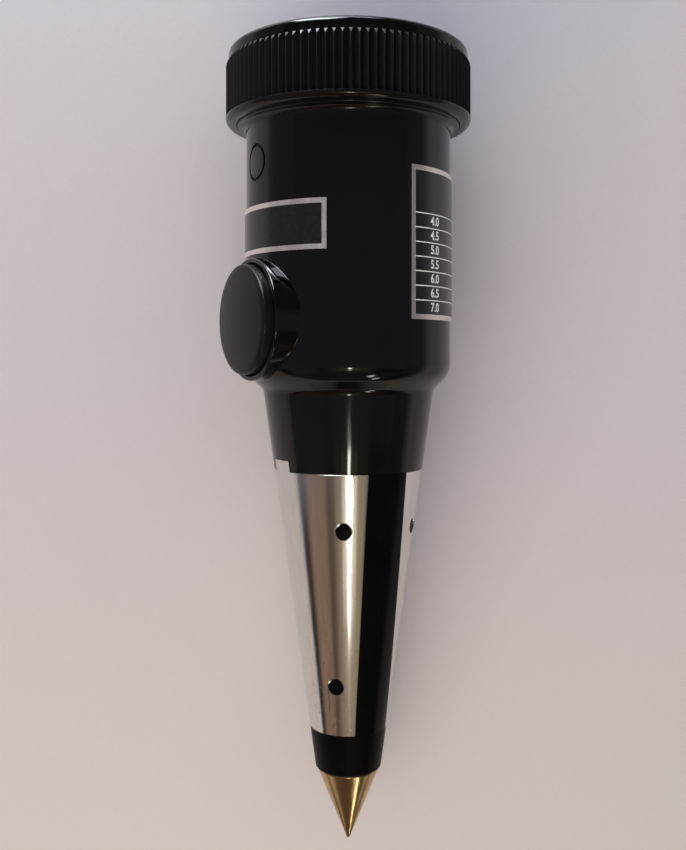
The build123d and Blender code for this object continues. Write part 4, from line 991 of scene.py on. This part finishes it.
addLamp("softKey", *keyLamp).visible_glossy = False
for name, setting in glossLamps.items():
    glossLamp = addLamp(name, *setting)
    glossLamp.visible_diffuse = glossLamp.visible_transmission = False
world = bpy.data.worlds.new("paleWorld")
scene.world = world
world.use_nodes = True
world.node_tree.nodes["Background"].inputs["Color"].default_value = (*lights["world"], 1)


# dim cards that only the gloss shows
def makeGlow(card, shadeOf):  # the card shines in the colour that shadeOf(tree) gives
    material = bpy.data.materials.new(card.name)
    material.use_nodes = True
    tree = material.node_tree
    tree.nodes.remove(tree.nodes["Principled BSDF"])
    glow = tree.nodes.new("ShaderNodeEmission")
    tree.links.new(shadeOf(tree), glow.inputs["Color"])
    tree.links.new(glow.outputs["Emission"], tree.nodes["Material Output"].inputs["Surface"])
    card.data.materials.append(material)
    card.visible_camera = card.visible_diffuse = card.visible_transmission = card.visible_shadow = False


# warm room round the camera's side, in metres
room = {
    "radius": 2.0, "edge": 0.03, "wallTop": (-0.38, -0.28), "wallBase": (-0.70, -0.58),
    "above": (0.19, 0.18, 0.20), "highFrom": (0.16, 0.34), "high": (0.08, 0.075, 0.085),
    "below": (0.13, 0.085, 0.07), "segments": 64, "rings": 32,
    "colours": [  # turn to the right, colour of the wall there
        (-180, (0.05, 0.04, 0.035)), (-77, (0.03, 0.024, 0.02)), (-67, (0.26, 0.175, 0.12)),
        (-40, (0.23, 0.155, 0.105)), (-33, (0.09, 0.06, 0.042)), (-26, (0.12, 0.08, 0.055)),
        (-18, (0.27, 0.20, 0.15)), (-5, (0.29, 0.23, 0.16)), (2, (0.36, 0.29, 0.20)),
        (9, (0.31, 0.25, 0.17)), (26, (0.30, 0.24, 0.15)), (36, (0.05, 0.042, 0.036)),
        (180, (0.035, 0.03, 0.028)),
    ],
}


def roomShade(tree):
    sideways, forwards, height = (reachAlong(tree, way / room["radius"]) for way in (toRight, toCamera, up))
    ramp = tree.nodes.new("ShaderNodeValToRGB")
    stops = ramp.color_ramp.elements
    stops[0].color, stops[1].color = (*room["colours"][0][1], 1), (*room["colours"][-1][1], 1)
    for turn, colour in room["colours"][1:-1]:
        stops.new((turn + 180) / 360).color = (*colour, 1)
    bearing = reckon(tree, "ARCTAN2", sideways, forwards)
    tree.links.new(spread(tree, bearing, 0, 1, -pi, pi), ramp.inputs["Fac"])
    sky = mixColours(tree, spread(tree, height, 0, 1, *room["highFrom"]), room["above"], room["high"])
    upper = mixColours(tree, spread(tree, height, 0, 1, *room["wallTop"]), ramp.outputs["Color"], sky)
    return mixColours(tree, spread(tree, height, 0, 1, *room["wallBase"]), room["below"], upper)


deselectAll()
bpy.ops.mesh.primitive_uv_sphere_add(segments=room["segments"], ring_count=room["rings"],
                                     radius=room["radius"], location=aim)
roomCards = bpy.context.object
roomCards.name = "roomCards"
editMode()
slicePlane(aim + tableNormal * room["edge"], tableNormal, clear_inner=True)
objectMode()
makeGlow(roomCards, roomShade)


def glowCard(name, corner, across, along, shadeOf):
    deselectAll()
    bpy.ops.mesh.primitive_plane_add(size=1)
    card = bpy.context.object
    card.name = name
    turned = Matrix((across, along, across.cross(along).normalized())).transposed().to_4x4()
    card.data.transform(Matrix.Translation(corner + (across + along) / 2) @ turned)
    makeGlow(card, shadeOf)


# two low side cards, in metres, that fade the far table out of the barrel's gloss
sideCards = {
    "leftCard": {"away": -0.25, "low": 0.04, "high": 0.6, "foot": -0.024, "head": 0.15,
                 "fade": (-0.024, 0.014), "footShade": (0.39, 0.36, 0.375), "headShade": (0.19, 0.18, 0.20),
                 "dark": (-2.0, -1.0), "darkShade": (0.03, 0.03, 0.03)},
    "rightCard": {"away": 0.11, "low": -0.35, "high": 0.6, "foot": -0.024, "head": 0.06,
                  "fade": (-0.006, 0.018), "footShade": (0.60, 0.56, 0.55), "headShade": (0.17, 0.16, 0.18),
                  "dark": (-0.03, 0.10), "darkShade": (0.03, 0.026, 0.025)},
}
for name, card in sideCards.items():
    def sideShade(tree):
        risen = spread(tree, reachAlong(tree, up), 0, 1, *card["dark"])
        nearer = spread(tree, reachAlong(tree, toCamera), 0, 1, *card["fade"])
        head = mixColours(tree, risen, card["darkShade"], card["headShade"])
        return mixColours(tree, nearer, card["footShade"], head)

    glowCard(name, toRight * card["away"] + toCamera * card["foot"] + up * card["low"],
             toCamera * (card["head"] - card["foot"]), up * (card["high"] - card["low"]), sideShade)

# painted shadow: a dark card on the table below the point stands in for the tester's shadow there, and the
# underside of the shoulder shows it in its middle
paintedShadowCard = {"top": -20.0, "length": 330.0, "half": 60.0, "above": 1.0, "fade": (0.03, 0.06),
           "middle": (0.03, 0.025, 0.024), "edge": (0.52, 0.47, 0.45)}
tableDown = toCamera * sin(lean) - up * cos(lean)
lowReach = -table["ringReach"] - (paintedShadowCard["top"] - table["ringZ"]) * tan(lean)


# painted shadow: dark in the middle, fading to the table's colour at the sides
def paintedShadowShade(tree):
    sideways = reckon(tree, "ABSOLUTE", reachAlong(tree, toRight))
    faded = spread(tree, sideways, 0, 1, *paintedShadowCard["fade"])
    return mixColours(tree, faded, paintedShadowCard["middle"], paintedShadowCard["edge"])


lowMiddle = toCamera * lowReach + up * paintedShadowCard["top"] + tableNormal * paintedShadowCard["above"]
glowCard("paintedShadowCard", (lowMiddle - toRight * paintedShadowCard["half"]) * mm, toRight * paintedShadowCard["half"] * 2 * mm,
         tableDown * paintedShadowCard["length"] * mm, paintedShadowShade)
print("table, lamps and cards set")
